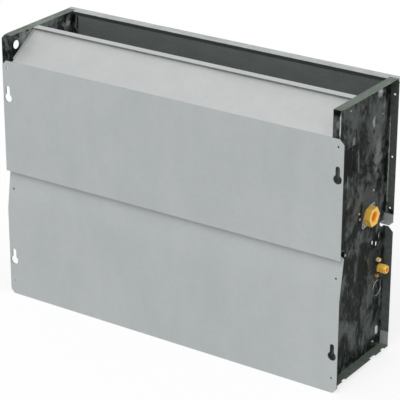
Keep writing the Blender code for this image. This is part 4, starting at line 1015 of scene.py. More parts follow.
@dataclass(frozen=True)
class FoldedSheet:
    """How a folded sheet's copy is rounded."""

    fold: float = 0.9 * MM
    edge: float = 0.15 * MM
    least_length: float = 8 * MM
    least_width: float = 3 * MM

    def copy(self, node: str) -> BMesh:
        """The copy that is rounded."""
        return merged(node)

    def dress(self, node: str, finish: Finish, body: str = CHASSIS) -> bpy.types.Object:
        """Rounds a copy of a sheet node at its folds and breaks its cut edges.

        Args:
            node: The CAD node that the copy replaces.
            finish: What it is made of.
            body: The CAD body that it rides on.

        Returns:
            The piece.
        """
        bm = self.copy(node)
        folds = [edge for edge in sharp_edges(bm)
                 if edge.calc_length() > self.least_length and wide_beside(edge, self.least_width)]
        bevel(bm, folds, self.fold, 3)
        bevel(bm, sharp_edges(bm), self.edge, 1)
        return finished(bm, f"{node}_sheet", finish, body, [node], smooth=SHEET_SHADING, even=True)


@dataclass(frozen=True)
class TraySheet(FoldedSheet):
    """A side tray's copy, whose clipped rear corner runs cleanly into the notch above it."""

    corner: Triple = (380.6 * MM, 256.5 * MM, 257.0 * MM)
    slack: float = 50 * MERGE
    weld: float = 20 * MERGE

    def copy(self, node: str) -> BMesh:
        """The merged copy, with the thin strip over the clipped corner folded away.

        Args:
            node: The CAD node.

        Returns:
            The copy.
        """
        bm = super().copy(node)
        inner, low, high = self.corner
        strip = [vert for vert in bm.verts if low - self.slack < vert.co.z < high + self.slack
                 and abs(vert.co.x) > inner + self.slack]
        for vert in strip:
            vert.co.x = math.copysign(inner, vert.co.x)
        bmesh.ops.remove_doubles(bm, verts=bm.verts, dist=self.weld)
        bmesh.ops.dissolve_degenerate(bm, edges=bm.edges, dist=self.weld)
        return bm


@dataclass(frozen=True)
class LippedSheet(FoldedSheet):
    """The lower wall panel's copy, whose top lip is clipped at both ends."""

    lip_foot: float = 270.0 * MM
    lip_end: float = 373.0 * MM

    def copy(self, node: str) -> BMesh:
        """The merged copy, with the lip's upper corners drawn in.

        Args:
            node: The CAD node.

        Returns:
            The copy.
        """
        bm = super().copy(node)
        for vert in bm.verts:
            if vert.co.z > self.lip_foot:
                vert.co.x = math.copysign(min(abs(vert.co.x), self.lip_end), vert.co.x)
        return bm


@dataclass(frozen=True)
class SolidStock:
    """How a turned or moulded node's copy is smoothed."""

    edge: float = 0.25 * MM
    keep: float = 50.0

    def dress(self, node: str, finish: Finish, body: str = CHASSIS) -> bpy.types.Object:
        """Breaks the sharp edges of a copy and shades the rest round.

        Args:
            node: The CAD node that the copy replaces.
            finish: What it is made of.
            body: The CAD body that it rides on.

        Returns:
            The piece.
        """
        bm = merged(node)
        bevel(bm, sharp_edges(bm, self.keep), self.edge, 2)
        return finished(bm, f"{node}_stock", finish, body, [node], smooth=self.keep, even=True)


def added(bm: BMesh, known: set[BMVert]) -> list[BMVert]:
    """The points of a shape that aren't among the known ones."""
    return [vert for vert in bm.verts if vert not in known]


def open_up(bm: BMesh, corners: int) -> None:
    """Deletes the faces that a spin left inside, where more than two faces meet at every edge.

    Args:
        bm: The shape.
        corners: How many corners such a face has.
    """
    inner = [face for face in bm.faces if len(face.verts) == corners
             and all(len(edge.link_faces) > 2 for edge in face.edges)]
    bmesh.ops.delete(bm, geom=inner, context="FACES_ONLY")


def lathe(bm: BMesh, profile: Sequence[Pair], steps: int, turn: Matrix, closed: bool = False) -> None:
    """Spins a profile about its own X axis.

    Args:
        bm: Where the shape goes.
        profile: Points as (along the axis, radius), in metres. An open profile ends on the axis.
        steps: Faces around.
        turn: Places the axis.
        closed: Whether the profile's last point joins its first.
    """
    known = set(bm.verts)
    verts = [bm.verts.new((along, 0.0, radius)) for along, radius in profile]
    pairs = list(zip(verts, verts[1:])) + ([(verts[-1], verts[0])] if closed else [])
    edges = [bm.edges.new(pair) for pair in pairs]
    bmesh.ops.spin(bm, geom=verts + edges, cent=(0, 0, 0), axis=(1, 0, 0), angle=math.tau, steps=steps,
                   use_merge=True)
    bmesh.ops.remove_doubles(bm, verts=added(bm, known), dist=MERGE)
    bmesh.ops.transform(bm, matrix=turn, verts=added(bm, known))


class Head(Enum):
    """Kinds of small fastener."""

    POP_RIVET = "pop_rivet"
    HEX_SCREW = "hex_screw"
    PAN_SCREW = "pan_screw"


@dataclass(frozen=True)
class Fastener:
    """A fastener's head, standing on a face along its own X axis."""

    kind: Head
    radius: float = 3.2 * MM
    height: float = 1.3 * MM
    sunk: float = 0.4 * MM
    turn_each: float = 0.7
    recess_rim: float = 0.12
    recess_depth: float = 0.45
    hexagon_share: float = 0.68
    hexagon_edge: float = 0.06
    round_steps: int = 14
    washer_steps: int = 18

    OUTLINES: ClassVar[dict[Head, tuple[Pair, ...]]] = {
        Head.POP_RIVET: ((0.15, 1.0), (0.7, 0.8), (1.0, 0.48), (0.72, 0.38), (0.72, 0.0)),
        Head.PAN_SCREW: ((0.45, 1.0), (0.85, 0.82), (1.0, 0.5), (1.0, 0.0)),
        Head.HEX_SCREW: ((0.3, 1.0), (0.42, 0.93), (0.42, 0.0)),
    }

    def template(self) -> bpy.types.Mesh:
        """The head's mesh, made once.

        Returns:
            The mesh.
        """
        name = f"{self.kind.value}_{self.radius / MM:.1f}"
        found = bpy.data.meshes.get(name)
        if found:
            return found
        bm = bmesh.new()
        dome = [(along * self.height, out * self.radius) for along, out in self.OUTLINES[self.kind]]
        steps = self.washer_steps if self.kind is Head.HEX_SCREW else self.round_steps
        lathe(bm, [(-self.sunk, 0.0), (-self.sunk, self.radius), *dome], steps, Matrix.Identity(4))
        if self.kind is Head.PAN_SCREW:
            self.cross(bm)
        elif self.kind is Head.HEX_SCREW:
            self.hexagon(bm)
        bmesh.ops.recalc_face_normals(bm, faces=bm.faces)
        return meshed(bm, name)

    def hexagon(self, bm: BMesh) -> None:
        """Stands the six-sided head on its washer.

        Args:
            bm: The washer, which the head joins.
        """
        known = set(bm.verts)
        six = bmesh.ops.create_circle(bm, cap_ends=True, segments=6, radius=self.hexagon_share * self.radius)["verts"]
        base = [face for face in bm.faces if set(face.verts) <= set(six)]
        shift(bm, bmesh.ops.extrude_face_region(bm, geom=base), (0, 0, self.height))
        bmesh.ops.transform(bm, matrix=Z_TO_X, verts=added(bm, known))
        rim = [edge for edge in sharp_edges(bm) if not set(edge.verts) & known]
        bevel(bm, rim, self.hexagon_edge * self.radius, 1)

    def cross(self, bm: BMesh) -> None:
        """Sinks the middle of a screw's head for its driver.

        Args:
            bm: The screw's head.
        """
        top = [face for face in bm.faces if abs(face.calc_center_median().x - self.height) < 1e-5]
        bmesh.ops.inset_region(bm, faces=top, thickness=self.recess_rim * self.radius, depth=0.0)
        bmesh.ops.translate(bm, verts=list({vert for face in top for vert in face.verts}),
                            vec=(-self.recess_depth * self.height, 0, 0))

    def row(self, name: str, spots: Sequence[tuple[Vector, Vector]], finish: Finish,
            body: str = CHASSIS) -> bpy.types.Object:
        """Makes one piece of several such heads.

        Args:
            name: The piece's name.
            spots: Where each stands and which way it points.
            finish: What they are made of.
            body: The CAD body that they ride on.

        Returns:
            The piece.
        """
        bm = bmesh.new()
        mesh = self.template()
        for number, (spot, way) in enumerate(spots):
            turn = Vector((1, 0, 0)).rotation_difference(way).to_matrix().to_4x4()
            spun = Matrix.Rotation(self.turn_each * number, 4, "X")
            stamp(bm, mesh, Matrix.Translation(spot) @ turn @ spun)
        return finished(bm, name, finish, body)


# Sub-assemblies


@dataclass
class Casing:
    """The two side trays and the two wall-side panels, with their fasteners."""

    web: float = 370.6 * MM
    sheet: float = 1.0 * MM
    rivets: tuple[Pair, ...] = mm((163.0, 347.0), (110.0, 316.0), (113.0, 304.0), (61.0, 249.5), (184.0, 16.0))
    slotted_rivets: tuple[Pair, ...] = mm((187.0, 494.0), (64.0, 537.0))
    ring: Triple = (190.0 * MM, 131.0 * MM, 16.2 * MM)
    ring_bead: float = 0.55 * MM
    ring_out: float = 1.1 * MM
    ring_sides: int = 8
    ring_steps: int = 14
    ring_turn: float = 0.2
    lit_ring_arcs: tuple[Pair, ...] = ((75.0, 175.0), (250.0, 345.0))
    plug: tuple[float, ...] = (196.0 * MM, 37.0 * MM, 9.0 * MM, 18.0 * MM)
    plug_proud: float = 1.2 * MM
    plug_round: float = 0.7 * MM
    gasket: tuple[Pair, ...] = mm((147.0, 151.5), (206.0, 151.5), (206.0, 232.0), (190.0, 232.0), (190.0, 221.5),
                                  (147.0, 221.5))
    gasket_sheet: float = 1.2 * MM
    gasket_holes: tuple[tuple[str, float], ...] = (
        ("lower_connection", 0.6 * MM), ("vent_valve_body", 0.4 * MM), ("drain_valve_body", 0.4 * MM),
    )
    collars: tuple[tuple[str, float, float], ...] = (
        ("lower_connection", 2.2 * MM, 5.4 * MM), ("vent_valve_body", 1.3 * MM, 4.8 * MM),
    )
    collar_gap: float = 0.4 * MM
    collar_round: float = 0.6 * MM
    eyelets: tuple[float, ...] = (527.8 * MM, 401.8 * MM, 296.2 * MM)
    eyelet_out: float = 382.1 * MM
    eyelet_bore: float = 1.9 * MM
    # Black discs over small holes: painted shade for the dark inside of each hole.
    hole_shade_discs: tuple[Pair, ...] = mm((152.0, 268.0), (170.0, 253.0), (198.0, 234.0), (200.0, 252.0))
    round_steps: int = 20
    fine_steps: int = 24

    def build(self) -> None:
        """Dresses the sheets and sets their fasteners."""
        for side in ("left", "right"):
            TraySheet().dress(f"{side}_side_panel", TRAY_ZINC)
        FoldedSheet().dress("upper_wall_panel", PANEL_ZINC)
        LippedSheet().dress("lower_wall_panel", PANEL_ZINC)
        self.side_rivets()
        self.knockout_score_highlight()
        self.slot_plug()
        self.hole_eyelets()
        self.port_gasket()
        self.port_collars()

    def side_rivets(self) -> None:
        """Rivets and studs on the outside of both trays, and black discs over small holes that are painted shade for
        the dark inside of each hole.
        """
        kinds = (
            ("tray_rivets", self.rivets, 2.6 * MM, 1.0 * MM, SCREW_ZINC),
            ("tray_studs", self.slotted_rivets, 2.0 * MM, 0.7 * MM, SCREW_ZINC),
            # Painted shade: black discs for the dark inside of small holes.
            ("hole_shade_discs", self.hole_shade_discs, 2.2 * MM, 0.5 * MM, RUBBER),
        )
        for name, side in SIDES:
            for title, places, radius, height, finish in kinds:
                spots = [(Vector((side * self.web, y, z)), Vector((side, 0, 0))) for y, z in places]
                Fastener(Head.POP_RIVET, radius, height).row(f"{name}_{title}", spots, finish)

    def knockout_score_highlight(self) -> None:
        """Bright arcs on the knock-out's score, where the sheet was cut nearly through; bright and laid only on the
        two stretches of rim that catch the light, they are a painted highlight.
        """
        y, z, radius = self.ring
        for name, side in SIDES:
            bm = bmesh.new()
            for start, end in self.lit_ring_arcs:
                known = set(bm.verts)
                place = Matrix.Translation((0, radius, 0)) @ Matrix.Rotation(self.ring_turn, 4, "Z")
                bmesh.ops.create_circle(bm, cap_ends=True, segments=self.ring_sides, radius=self.ring_bead,
                                        matrix=place)
                face = next(item for item in bm.faces if not set(item.verts) & known)
                bmesh.ops.spin(bm, geom=[face, *face.edges, *face.verts], cent=(0, 0, 0), axis=(1, 0, 0),
                               angle=math.radians(end - start), steps=self.ring_steps)
                bmesh.ops.rotate(bm, cent=(0, 0, 0), verts=added(bm, known),
                                 matrix=Matrix.Rotation(math.radians(start), 3, "X"))
            open_up(bm, self.ring_sides)
            bmesh.ops.translate(bm, verts=bm.verts, vec=(side * (self.web + self.ring_out), y, z))
            # Painted highlight: bright beads only on the two stretches of rim that catch the light.
            finished(bm, f"{name}_knockout_score_highlight", SCORE_HIGHLIGHT_ZINC, smooth=60.0)

    def slot_plug(self) -> None:
        """A pale plastic plug, domed a little, in the low slot of each tray; its pale colour is painted light,
        standing for the bright backdrop seen through the slot.
        """
        y, z, width, height = self.plug
        for name, side in SIDES:
            bm = bmesh.new()
            bmesh.ops.create_circle(bm, cap_ends=True, segments=self.fine_steps, radius=width / 2, matrix=Z_TO_X)
            for vert in bm.verts:
                vert.co.z += math.copysign((height - width) / 2, vert.co.z) if abs(vert.co.z) > MERGE else 0.0
            face = next(iter(bm.faces))
            grown = bmesh.ops.extrude_discrete_faces(bm, faces=[face])["faces"][0]
            bmesh.ops.translate(bm, verts=grown.verts, vec=(self.plug_proud + 2 * self.sheet, 0, 0))
            bmesh.ops.contextual_create(bm, geom=[edge for edge in bm.edges if edge.is_boundary])
            bevel(bm, list(grown.edges), self.plug_round, 2)
            bmesh.ops.transform(bm, verts=bm.verts, matrix=Matrix.Translation(
                (side * (self.web - 2 * self.sheet), y, z)) @ Matrix.Scale(side, 4, (1, 0, 0)))
            # Painted light: the plug's pale colour stands for the bright backdrop seen through the slot.
            finished(bm, f"{name}_slot_plug", PALE_PLASTIC, smooth=40.0)

    def hole_eyelets(self) -> None:
        """Thin eyelets in the holes of the rear flanges."""
        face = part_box("right_side_panel")[1].y - self.sheet
        back, front = 0.9 * MM, 0.5 * MM
        bore, neck, brim = self.eyelet_bore, self.eyelet_bore + 0.5 * MM, self.eyelet_bore + 1.5 * MM
        profile = [(-front, bore + 0.3 * MM), (0.15 * MM - front, bore), (back, bore), (back, neck), (0.0, neck),
                   (0.0, brim), (-0.2 * MM, brim), (-front, brim - 0.5 * MM)]
        turned = Matrix.Rotation(math.pi / 2, 4, "Z")
        for name, side in SIDES:
            bm = bmesh.new()
            for height in self.eyelets:
                place = Matrix.Translation((side * self.eyelet_out, face, height)) @ turned
                lathe(bm, profile, self.round_steps, place, closed=True)
            finished(bm, f"{name}_rear_eyelets", END_TRIM_ZINC, smooth=40.0)

    def port_gasket(self) -> None:
        """A dark foam pad behind the lower pipe port, with a hole for each fitting."""
        bm = bmesh.new()
        inner = self.web - self.sheet - 0.2 * MM
        rim = [bm.verts.new((inner, y, z)) for y, z in self.gasket]
        for corner, after in zip(rim, rim[1:] + rim[:1]):
            bm.edges.new((corner, after))
        for node, gap in self.gasket_holes:
            centre, radius = girth(node)
            bmesh.ops.create_circle(bm, cap_ends=False, segments=self.round_steps, radius=radius + gap,
                                    matrix=Matrix.Translation((inner, centre.y, centre.z)) @ Z_TO_X)
        bmesh.ops.triangle_fill(bm, edges=bm.edges[:], use_beauty=True, use_dissolve=False, normal=(1, 0, 0))
        bmesh.ops.dissolve_limit(bm, angle_limit=FLAT, verts=bm.verts, edges=bm.edges)
        shift(bm, bmesh.ops.extrude_face_region(bm, geom=bm.faces[:]), (-self.gasket_sheet, 0, 0))
        finished(bm, "port_gasket", GASKET_FOAM, smooth=40.0)

    def port_collars(self) -> None:
        """Soft collars that stand out of the port round the connection and the vent valve."""
        bm = bmesh.new()
        start = self.web - self.sheet - self.collar_gap
        for node, wall, out in self.collars:
            centre, radius = girth(node)
            inner, end, bend = radius + self.collar_gap, self.web + out, self.collar_round
            profile = [
                (start, inner), (end - bend, inner), (end, inner + bend),
                (end, inner + wall - bend), (end - bend, inner + wall), (start, inner + wall),
            ]
            lathe(bm, profile, self.fine_steps, Matrix.Translation((0, centre.y, centre.z)), closed=True)
        finished(bm, "port_collars", GASKET_FOAM, smooth=SHEET_SHADING)


@dataclass
class RoomSide:
    """The insulated room-side panel, its lining, strip and end trims, and the rail at the foot."""

    trim_width: float = 12.3 * MM
    trim_sheet: float = 0.6 * MM
    trim_foot: float = 340.0 * MM
    trim_edge: float = 0.12 * MM
    trim_back: float = 0.3 * MM
    trim_gap: float = 0.2 * MM
    return_sheet: float = 1.0 * MM
    return_edge: float = 0.15 * MM
    return_gap: float = 1.3 * MM
    rail_screws: tuple[Pair, ...] = mm((381.0, 12.0), (381.0, 33.0))

    def build(self) -> None:
        """Dresses the sheets and the foam, and adds the trims and the rail's screws."""
        sheet = FoldedSheet()
        for name in ("room_side_panel", "base_rail", "lining_edge_strip"):
            sheet.dress(name, ROOM_ZINC)
        SolidStock(0.8 * MM).dress("room_panel_lining", LINING_FOAM)
        self.end_trims()
        self.return_ends()
        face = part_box("base_rail")[1].y
        spots = [(Vector((side * x, face, z)), Vector((0, 1, 0))) for side in (-1, 1) for x, z in self.rail_screws]
        Fastener(Head.HEX_SCREW, 3.4 * MM, 2.0 * MM).row("base_rail_screws", spots, SCREW_ZINC)

    def return_ends(self) -> None:
        """The ends of the panel's lower return, which lie in the notches of the trays."""
        low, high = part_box("room_side_panel")
        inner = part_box("room_panel_lining")[1].x + self.return_gap
        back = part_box("right_side_panel")[1].y
        for name, side in SIDES:
            rim = [(side * x, y, low.z) for x, y in (
                (inner, low.y), (high.x, low.y), (high.x, back), (inner, back))]
            slab(f"{name}_return_end", rim, (0, 0, self.return_sheet), self.return_edge, ROOM_ZINC)

    def end_trims(self) -> None:
        """A thin bare strip down each end of the lining."""
        low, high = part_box("lining_edge_strip")
        near, top = low.y + self.trim_back, low.z - self.trim_gap
        for name, side in SIDES:
            outer = side * (high.x - self.trim_gap)
            inner = outer - side * self.trim_width
            rim = [(x, near, z) for x, z in (
                (outer, self.trim_foot), (inner, self.trim_foot), (inner, top), (outer, top))]
            slab(f"{name}_lining_trim", rim, (0, self.trim_sheet, 0), self.trim_edge, END_TRIM_ZINC)


@dataclass
class Discharge:
    """The sloped baffle under the outlet, its end flanges, and the sheet above the coil."""

    end: float = 369.0 * MM
    flange_sheet: float = 1.0 * MM
    flange_edge: float = 0.2 * MM
    flange: tuple[Pair, ...] = mm((5.0, 508.9), (82.5, 557.9), (73.5, 558.2), (2.6, 513.3))

    def build(self) -> None:
        """Dresses both sheets and stands a narrow flange on each end of the slope."""
        FoldedSheet().dress("discharge_baffle", BAFFLE_ZINC)
        FoldedSheet().dress("coil_top_baffle", INNER_ZINC)
        for name, side in SIDES:
            rim = [(side * self.end, y, z) for y, z in self.flange]
            slab(f"{name}_baffle_end_flange", rim, (-side * self.flange_sheet, 0, 0), self.flange_edge, BAFFLE_ZINC)


@dataclass
class Coil:
    """The finned coil with its end plates, return bends, headers and brazed joints."""

    tilt: float = math.radians(19.0)
    row_pitch: float = 19.05 * MM
    tube_pitch: float = 22.0 * MM
    tubes: int = 8
    tube: float = 4.76 * MM
    fin_pitch: float = 2.1 * MM
    fin_sheet: float = 0.25 * MM
    fin_wave: float = 0.55 * MM
    fin_waves: int = 8
    plate: float = 1.5 * MM
    wide_corner: float = 10.0 * MM
    sleeve: float = 5.45 * MM
    sleeve_out: float = 5.0 * MM
    around: int = 20
    arc: int = 7
    sleeve_steps: int = 18

    def seat(self) -> Matrix:
        """Places the coil's own axes: X along the tubes, Y through the rows, Z up the slope."""
        centre = middle("coil_fin_pack")
        return Matrix.Translation((0, centre.y, centre.z)) @ Matrix.Rotation(self.tilt, 4, "X")

    def heights(self) -> list[float]:
        """Where the tubes are up the slope."""
        return [(i - (self.tubes - 1) / 2) * self.tube_pitch for i in range(self.tubes)]

    def build(self) -> None:
        """Builds the fins and bends and dresses the rest."""
        self.fins()
        sheet = FoldedSheet()
        for side in ("left", "right"):
            sheet.dress(f"{side}_coil_end_plate", INNER_ZINC)
        for name in ("upper_header", "lower_header"):
            SolidStock(0.6 * MM).dress(name, COPPER)
        self.bends()

    def fins(self) -> None:
        """A stack of thin rippled fins in place of the grooved block."""
        low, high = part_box("coil_fin_pack")
        half = self.tubes * self.tube_pitch / 2
        step = 2 * self.row_pitch / self.fin_waves
        bm = bmesh.new()
        verts = [
            bm.verts.new((self.fin_wave / 2 * (1 if i % 2 else -1), step * i - self.row_pitch, -half))
            for i in range(self.fin_waves + 1)
        ]
        edges = [bm.edges.new(pair) for pair in zip(verts, verts[1:])]
        shift(bm, bmesh.ops.extrude_edge_only(bm, edges=edges), (0, 0, 2 * half))
        bmesh.ops.solidify(bm, geom=list(bm.faces), thickness=self.fin_sheet)
        fin = meshed(bm, "coil_fin")
        bm = bmesh.new()
        span = high.x - low.x - 2 * self.fin_wave
        count = int(span / self.fin_pitch)
        for i in range(count + 1):
            stamp(bm, fin, Matrix.Translation((low.x + self.fin_wave + span / count * i, 0, 0)))
        bmesh.ops.transform(bm, matrix=self.seat(), verts=bm.verts)
        finished(bm, "coil_fins", FIN_METAL, stands_for=["coil_fin_pack"], smooth=20.0)

    def bend(self, node: str, ends: tuple[Pair, Pair], corner: float) -> None:
        """A smooth return bend in place of the faceted one.

        Args:
            node: The CAD node that it replaces.
            ends: The two tube centres, as (through the rows, up the slope).
            corner: Radius of its corners.
        """
        low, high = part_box(node)
        side = 1 if low.x > 0 else -1
        start, end = sorted((abs(low.x), abs(high.x)))
        reach = end - self.tube - corner
        (n0, s0), (n1, s1) = ends
        length = math.hypot(n1 - n0, s1 - s0)
        bm = bmesh.new()
        bmesh.ops.create_circle(bm, cap_ends=True, segments=self.around, radius=self.tube, matrix=Z_TO_X)
        bmesh.ops.translate(bm, verts=bm.verts, vec=(start, 0, 0))
        face = bm.faces[:][0]

        def pull(last: BMFace, along: Vector) -> BMFace:
            """Extrudes the tube's end straight on.

            Args:
                last: The tube's end.
                along: How far it goes, and which way.

            Returns:
                The new end.
            """
            grown = bmesh.ops.extrude_discrete_faces(bm, faces=[last])["faces"][0]
            bmesh.ops.translate(bm, verts=grown.verts, vec=along)
            return grown

        def turn(last: BMFace, centre: Vector, angle: float, steps: int) -> BMFace:
            """Spins the tube's end about a centre.

            Args:
                last: The tube's end.
                centre: The point that it turns about.
                angle: The turn in radians.
                steps: Faces along the turn.

            Returns:
                The new end.
            """
            spun = bmesh.ops.spin(bm, geom=[last, *last.verts, *last.edges], cent=centre, axis=(0, -1, 0),
                                  angle=angle, steps=steps)
            return next(item for item in spun["geom_last"] if isinstance(item, BMFace))

        face = pull(face, Vector((reach - start, 0, 0)))
        straight = length - 2 * corner
        face = turn(face, Vector((reach, 0, corner)), math.pi / 2, self.arc)
        if straight > MERGE:
            face = pull(face, Vector((0, 0, straight)))
        face = turn(face, Vector((reach, 0, length - corner)), math.pi / 2, self.arc)
        pull(face, Vector((start - reach, 0, 0)))
        bmesh.ops.remove_doubles(bm, verts=bm.verts, dist=MERGE)
        inner = [item for item in bm.faces if len(item.verts) > 4 and start + MERGE < item.calc_center_median().x]
        bmesh.ops.delete(bm, geom=inner, context="FACES_ONLY")
        bmesh.ops.contextual_create(bm, geom=[edge for edge in bm.edges if edge.is_boundary])
        angle = math.atan2(n0 - n1, s1 - s0)
        lie = Matrix.Rotation(angle, 4, "X")
        flip = Matrix.Scale(side, 4, (1, 0, 0))
        bmesh.ops.transform(bm, matrix=self.seat() @ Matrix.Translation((0, n0, s0)) @ flip @ lie, verts=bm.verts)
        finished(bm, f"{node}_tube", COPPER, stands_for=[node], smooth=60.0)

    def joints(self, name: str, side: int, spots: Sequence[Pair]) -> None:
        """Sleeves and brazing beads round the tubes at one end plate.

        Args:
            name: The piece's name.
            side: Which end, -1 for left and 1 for right.
            spots: Tube centres as (through the rows, up the slope).
        """
        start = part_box("right_coil_end_plate")[0].x + self.plate
        bm = bmesh.new()
        near, end, bore = start + 0.2 * MM, start + self.sleeve_out, self.tube + 0.05 * MM
        profile = [
            (near, bore), (near, self.sleeve), (end - 0.6 * MM, self.sleeve), (end, self.sleeve - 0.25 * MM),
            (end + 0.5 * MM, self.tube + 0.35 * MM), (end + 0.9 * MM, bore),
        ]
        for across, along in spots:
            place = self.seat() @ Matrix.Translation((0, across, along)) @ Matrix.Scale(side, 4, (1, 0, 0))
            lathe(bm, profile, self.sleeve_steps, place, closed=True)
        finished(bm, name, BRAZING, smooth=40.0)

    def bends(self) -> None:
        """All return bends and their brazed joints."""
        heights = self.heights()
        rows = {"a": -self.row_pitch / 2, "b": self.row_pitch / 2}
        for i, along in enumerate(heights, 1):
            self.bend(f"left_return_bend_{i}", ((rows["a"], along), (rows["b"], along)), self.row_pitch / 2)
        links = (("a", 1, 4), ("a", 2, 3), ("b", 3, 6), ("b", 4, 5), ("a", 5, 8), ("a", 6, 7))
        spots = []
        for row, first, last in links:
            corner = self.wide_corner if last - first > 1 else self.tube_pitch / 2
            ends = ((rows[row], heights[first - 1]), (rows[row], heights[last - 1]))
            spots += ends
            self.bend(f"right_return_bend_{row}{first}_{row}{last}", ends, corner)
        self.joints("right_brazed_joints", 1, spots)
        self.joints("left_brazed_joints", -1, [(row, along) for along in heights for row in rows.values()])


@dataclass
class Connections:
    """The brass pipe connections, the lock plate and the two service valves."""

    steps: int = 20
    root: float = 0.15 * MM
    mouth: float = 1.6 * MM
    threads: tuple[tuple[str, float, float, float], ...] = (
        ("upper_connection", 10.5 * MM, 10.0 * MM, 1.8 * MM), ("lower_connection", 5.2 * MM, 11.0 * MM, 1.3 * MM),
    )

    def build(self) -> None:
        """Dresses the brass pieces and cuts their threads."""
        for node, bore, depth, pitch in self.threads:
            self.thread(node, bore, depth, pitch)
        stock = SolidStock(0.5 * MM)
        stock.dress("upper_connection", BRASS)
        stock.dress("lower_connection", BRASS)
        FoldedSheet(edge=0.2 * MM).dress("connection_lock_plate", INNER_ZINC)
        small = SolidStock(0.25 * MM)
        small.dress("vent_valve_body", PALE_BRASS)
        small.dress("drain_valve_body", BROWN_BRASS)
        small.dress("vent_valve_spindle", PALE_BRASS, VENT_SCREW)
        small.dress("drain_valve_spindle", BROWN_BRASS, DRAIN_SCREW)

    def thread(self, node: str, bore: float, depth: float, pitch: float) -> None:
        """A ridge that winds down the inside of a bore.

        Args:
            node: The connection.
            bore: Radius of its bore.
            depth: Length of the thread from the open end.
            pitch: Advance in one turn.
        """
        bm = bmesh.new()
        ridge = [(0.0, bore + self.root), (0.8 * pitch, bore + self.root), (0.4 * pitch, bore - 0.4 * pitch)]
        face = bm.faces.new([bm.verts.new((along, 0.0, radius)) for along, radius in ridge])
        turns = int(depth / pitch) - 1
        bmesh.ops.spin(bm, geom=[face, *face.edges, *face.verts], cent=(0, 0, 0), axis=(1, 0, 0),
                       dvec=(pitch / self.steps, 0, 0), angle=turns * math.tau, steps=turns * self.steps)
        open_up(bm, len(ridge))
        centre = middle(node)
        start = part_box(node)[1].x - self.mouth - (turns + 0.8) * pitch
        bmesh.ops.translate(bm, verts=bm.verts, vec=(start, centre.y, centre.z))
        finished(bm, f"{node}_thread", BORE_BRASS, smooth=30.0)


@dataclass
class DrainPan:
    """The drain pan and its spigot."""

    def build(self) -> None:
        """Dresses both."""
        FoldedSheet().dress("drain_pan", TRAY_ZINC)
        SolidStock(0.4 * MM).dress("drain_spigot", DARK_PLASTIC)


@dataclass
class FanSection:
    """The deck, scrolls, wheels, shaft and motor."""

    def build(self) -> None:
        """Dresses the section."""
        sheet = FoldedSheet()
        sheet.dress("fan_deck", INNER_ZINC)
        sheet.dress("motor_cradle", INNER_ZINC)
        stock = SolidStock(0.4 * MM, 40.0)
        for side in ("left", "right"):
            FoldedSheet(edge=0.2 * MM, least_width=400 * MM).dress(f"{side}_scroll_housing", INNER_ZINC)
            SolidStock(0.2 * MM, 60.0).dress(f"{side}_impeller", WHEEL_ZINC, ROTOR)
            stock.dress(f"{side}_motor_cushion", RUBBER)
            stock.dress(f"{side}_motor_strap", STEEL)
        stock.dress("fan_shaft", STEEL, ROTOR)
        stock.dress("fan_motor", MOTOR_PAINT)


@dataclass
class FilterTray:
    """The slide-out filter and its guides."""

    def build(self) -> None:
        """Dresses the tray."""
        sheet = FoldedSheet()
        for side in ("left", "right"):
            sheet.dress(f"{side}_filter_guide", INNER_ZINC)
        SolidStock(0.4 * MM).dress("filter_frame", DARK_PLASTIC, FILTER)
        SolidStock(0.1 * MM, 70.0).dress("filter_media", MEDIA_CLOTH, FILTER)


@dataclass
class Terminals:
    """The terminal plate, its block and the cable grommet."""

    ways: int = 8
    clamp_reach: float = 5.0 * MM
    clamp_depth: float = 4.0 * MM
    plate_end: float = 6.0 * MM

    def build(self) -> None:
        """Dresses them and sets the screws of the plate and of each way."""
        FoldedSheet().dress("terminal_plate", INNER_ZINC)
        SolidStock(0.1 * MM).dress("terminal_block", PALE_PLASTIC)
        SolidStock(0.4 * MM).dress("cable_grommet", RUBBER)
        low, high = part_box("terminal_plate")
        centre = (low + high) / 2
        out = Vector((-1, 0, 0))
        spots = [(Vector((low.x, centre.y, z)), out) for z in (low.z + self.plate_end, high.z - self.plate_end)]
        Fastener(Head.PAN_SCREW, 3.6 * MM, 2.0 * MM).row("terminal_plate_screws", spots, SCREW_ZINC)
        low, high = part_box("terminal_block")
        pitch = (high.z - low.z) / self.ways
        spots = [
            (Vector((low.x + self.clamp_depth, centre.y + reach, low.z + pitch * (way + 0.5))), out)
            for way in range(self.ways) for reach in (-self.clamp_reach, self.clamp_reach)
        ]
        Fastener(Head.PAN_SCREW, 2.9 * MM, 1.4 * MM).row("terminal_clamp_screws", spots, SCREW_ZINC)


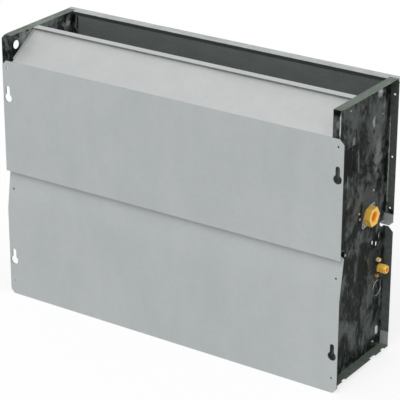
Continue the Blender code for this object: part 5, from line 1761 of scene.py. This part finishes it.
@dataclass
class Studio:
    """The camera, the lamps, the world and the floor."""

    eye: Triple = (1.9458, -2.7664, 1.7420)
    forward: Triple = (-0.5134, 0.7627, -0.3934)
    roll: float = math.radians(0.095)
    lens: float = 170.62
    sensor: float = 36.0
    floor_drop: float = 10.9 * MM
    floor_half: float = 9.0
    ambient: float = 0.62
    sun: float = 1.5
    sun_angle: float = math.radians(35.0)
    sun_from: Triple = (0.12, -0.75, 0.95)
    backdrop: float = 0.75

    def build(self) -> None:
        """Sets the stage."""
        self.camera()
        self.world()
        self.lamp()
        self.floor()
        bpy.context.scene.view_settings.view_transform = "Standard"

    def camera(self) -> None:
        """The camera at the photograph's viewing angle."""
        data = bpy.data.cameras.new("studio_camera")
        data.lens = self.lens
        data.sensor_width = self.sensor
        data.clip_end = 50.0
        eye = placed("studio_camera", data)
        turn = Vector(self.forward).to_track_quat("-Z", "Y").to_matrix().to_4x4()
        eye.matrix_world = Matrix.Translation(self.eye) @ turn @ Matrix.Rotation(self.roll, 4, "Z")
        bpy.context.scene.camera = eye

    def white_for_view(self, graph: Graph) -> Socket:
        """1 for rays that show the background itself: from the camera, in gloss or through glass.

        Args:
            graph: The graph that it goes into.

        Returns:
            The socket.
        """
        path = graph.add("ShaderNodeLightPath")
        seen = graph.math("MAXIMUM", path.outputs["Is Camera Ray"], path.outputs["Is Glossy Ray"])
        return graph.math("MAXIMUM", seen, path.outputs["Is Transmission Ray"])

    def world(self) -> None:
        """A white surround that lights the object softly."""
        world = bpy.data.worlds.new("studio_world")
        world.use_nodes = True
        graph = Graph(world.node_tree)
        level = graph.math("ADD", self.ambient, graph.math("MULTIPLY", self.white_for_view(graph), 1 - self.ambient))
        graph.fill(world.node_tree.nodes["Background"], {"Color": (1.0, 1.0, 1.0), "Strength": level})
        bpy.context.scene.world = world

    def lamp(self) -> None:
        """One broad soft key from above, on the wall side."""
        data = bpy.data.lights.new("key_lamp", "SUN")
        data.energy = self.sun
        data.angle = self.sun_angle
        key = placed("key_lamp", data)
        key.matrix_world = Vector(self.sun_from).to_track_quat("Z", "Y").to_matrix().to_4x4()

    def floor(self) -> None:
        """A plain pale floor that keeps the shadow."""
        bm = bmesh.new()
        bmesh.ops.create_grid(bm, x_segments=1, y_segments=1, size=self.floor_half)
        bmesh.ops.translate(bm, verts=bm.verts, vec=(0, 0, -self.floor_drop))
        mesh = meshed(bm, "studio_floor")
        paint = bpy.data.materials.new("studio_floor")
        paint.use_nodes = True
        graph = Graph(paint.node_tree)
        seen = self.white_for_view(graph)
        own = 1.0 - self.backdrop
        graph.fill(paint.node_tree.nodes["Principled BSDF"], {
            "Base Color": graph.blend(seen, (0.75, 0.75, 0.75), (own, own, own)), "Roughness": 1.0,
            "Emission Color": (1.0, 1.0, 1.0), "Emission Strength": graph.math("MULTIPLY", seen, self.backdrop),
            "Specular IOR Level": 0.0})
        mesh.materials.append(paint)
        placed("studio_floor", mesh)


def main() -> None:
    """Builds the unit's looks and its studio."""
    logging.basicConfig(level=logging.INFO, format="%(name)s: %(message)s")
    for part in (Casing(), RoomSide(), Discharge(), Coil(), Connections(), DrainPan(), FanSection(),
                 FilterTray(), Terminals(), Studio()):
        LOG.info("building %s", type(part).__name__)
        part.build()


if __name__ == "__main__":
    main()
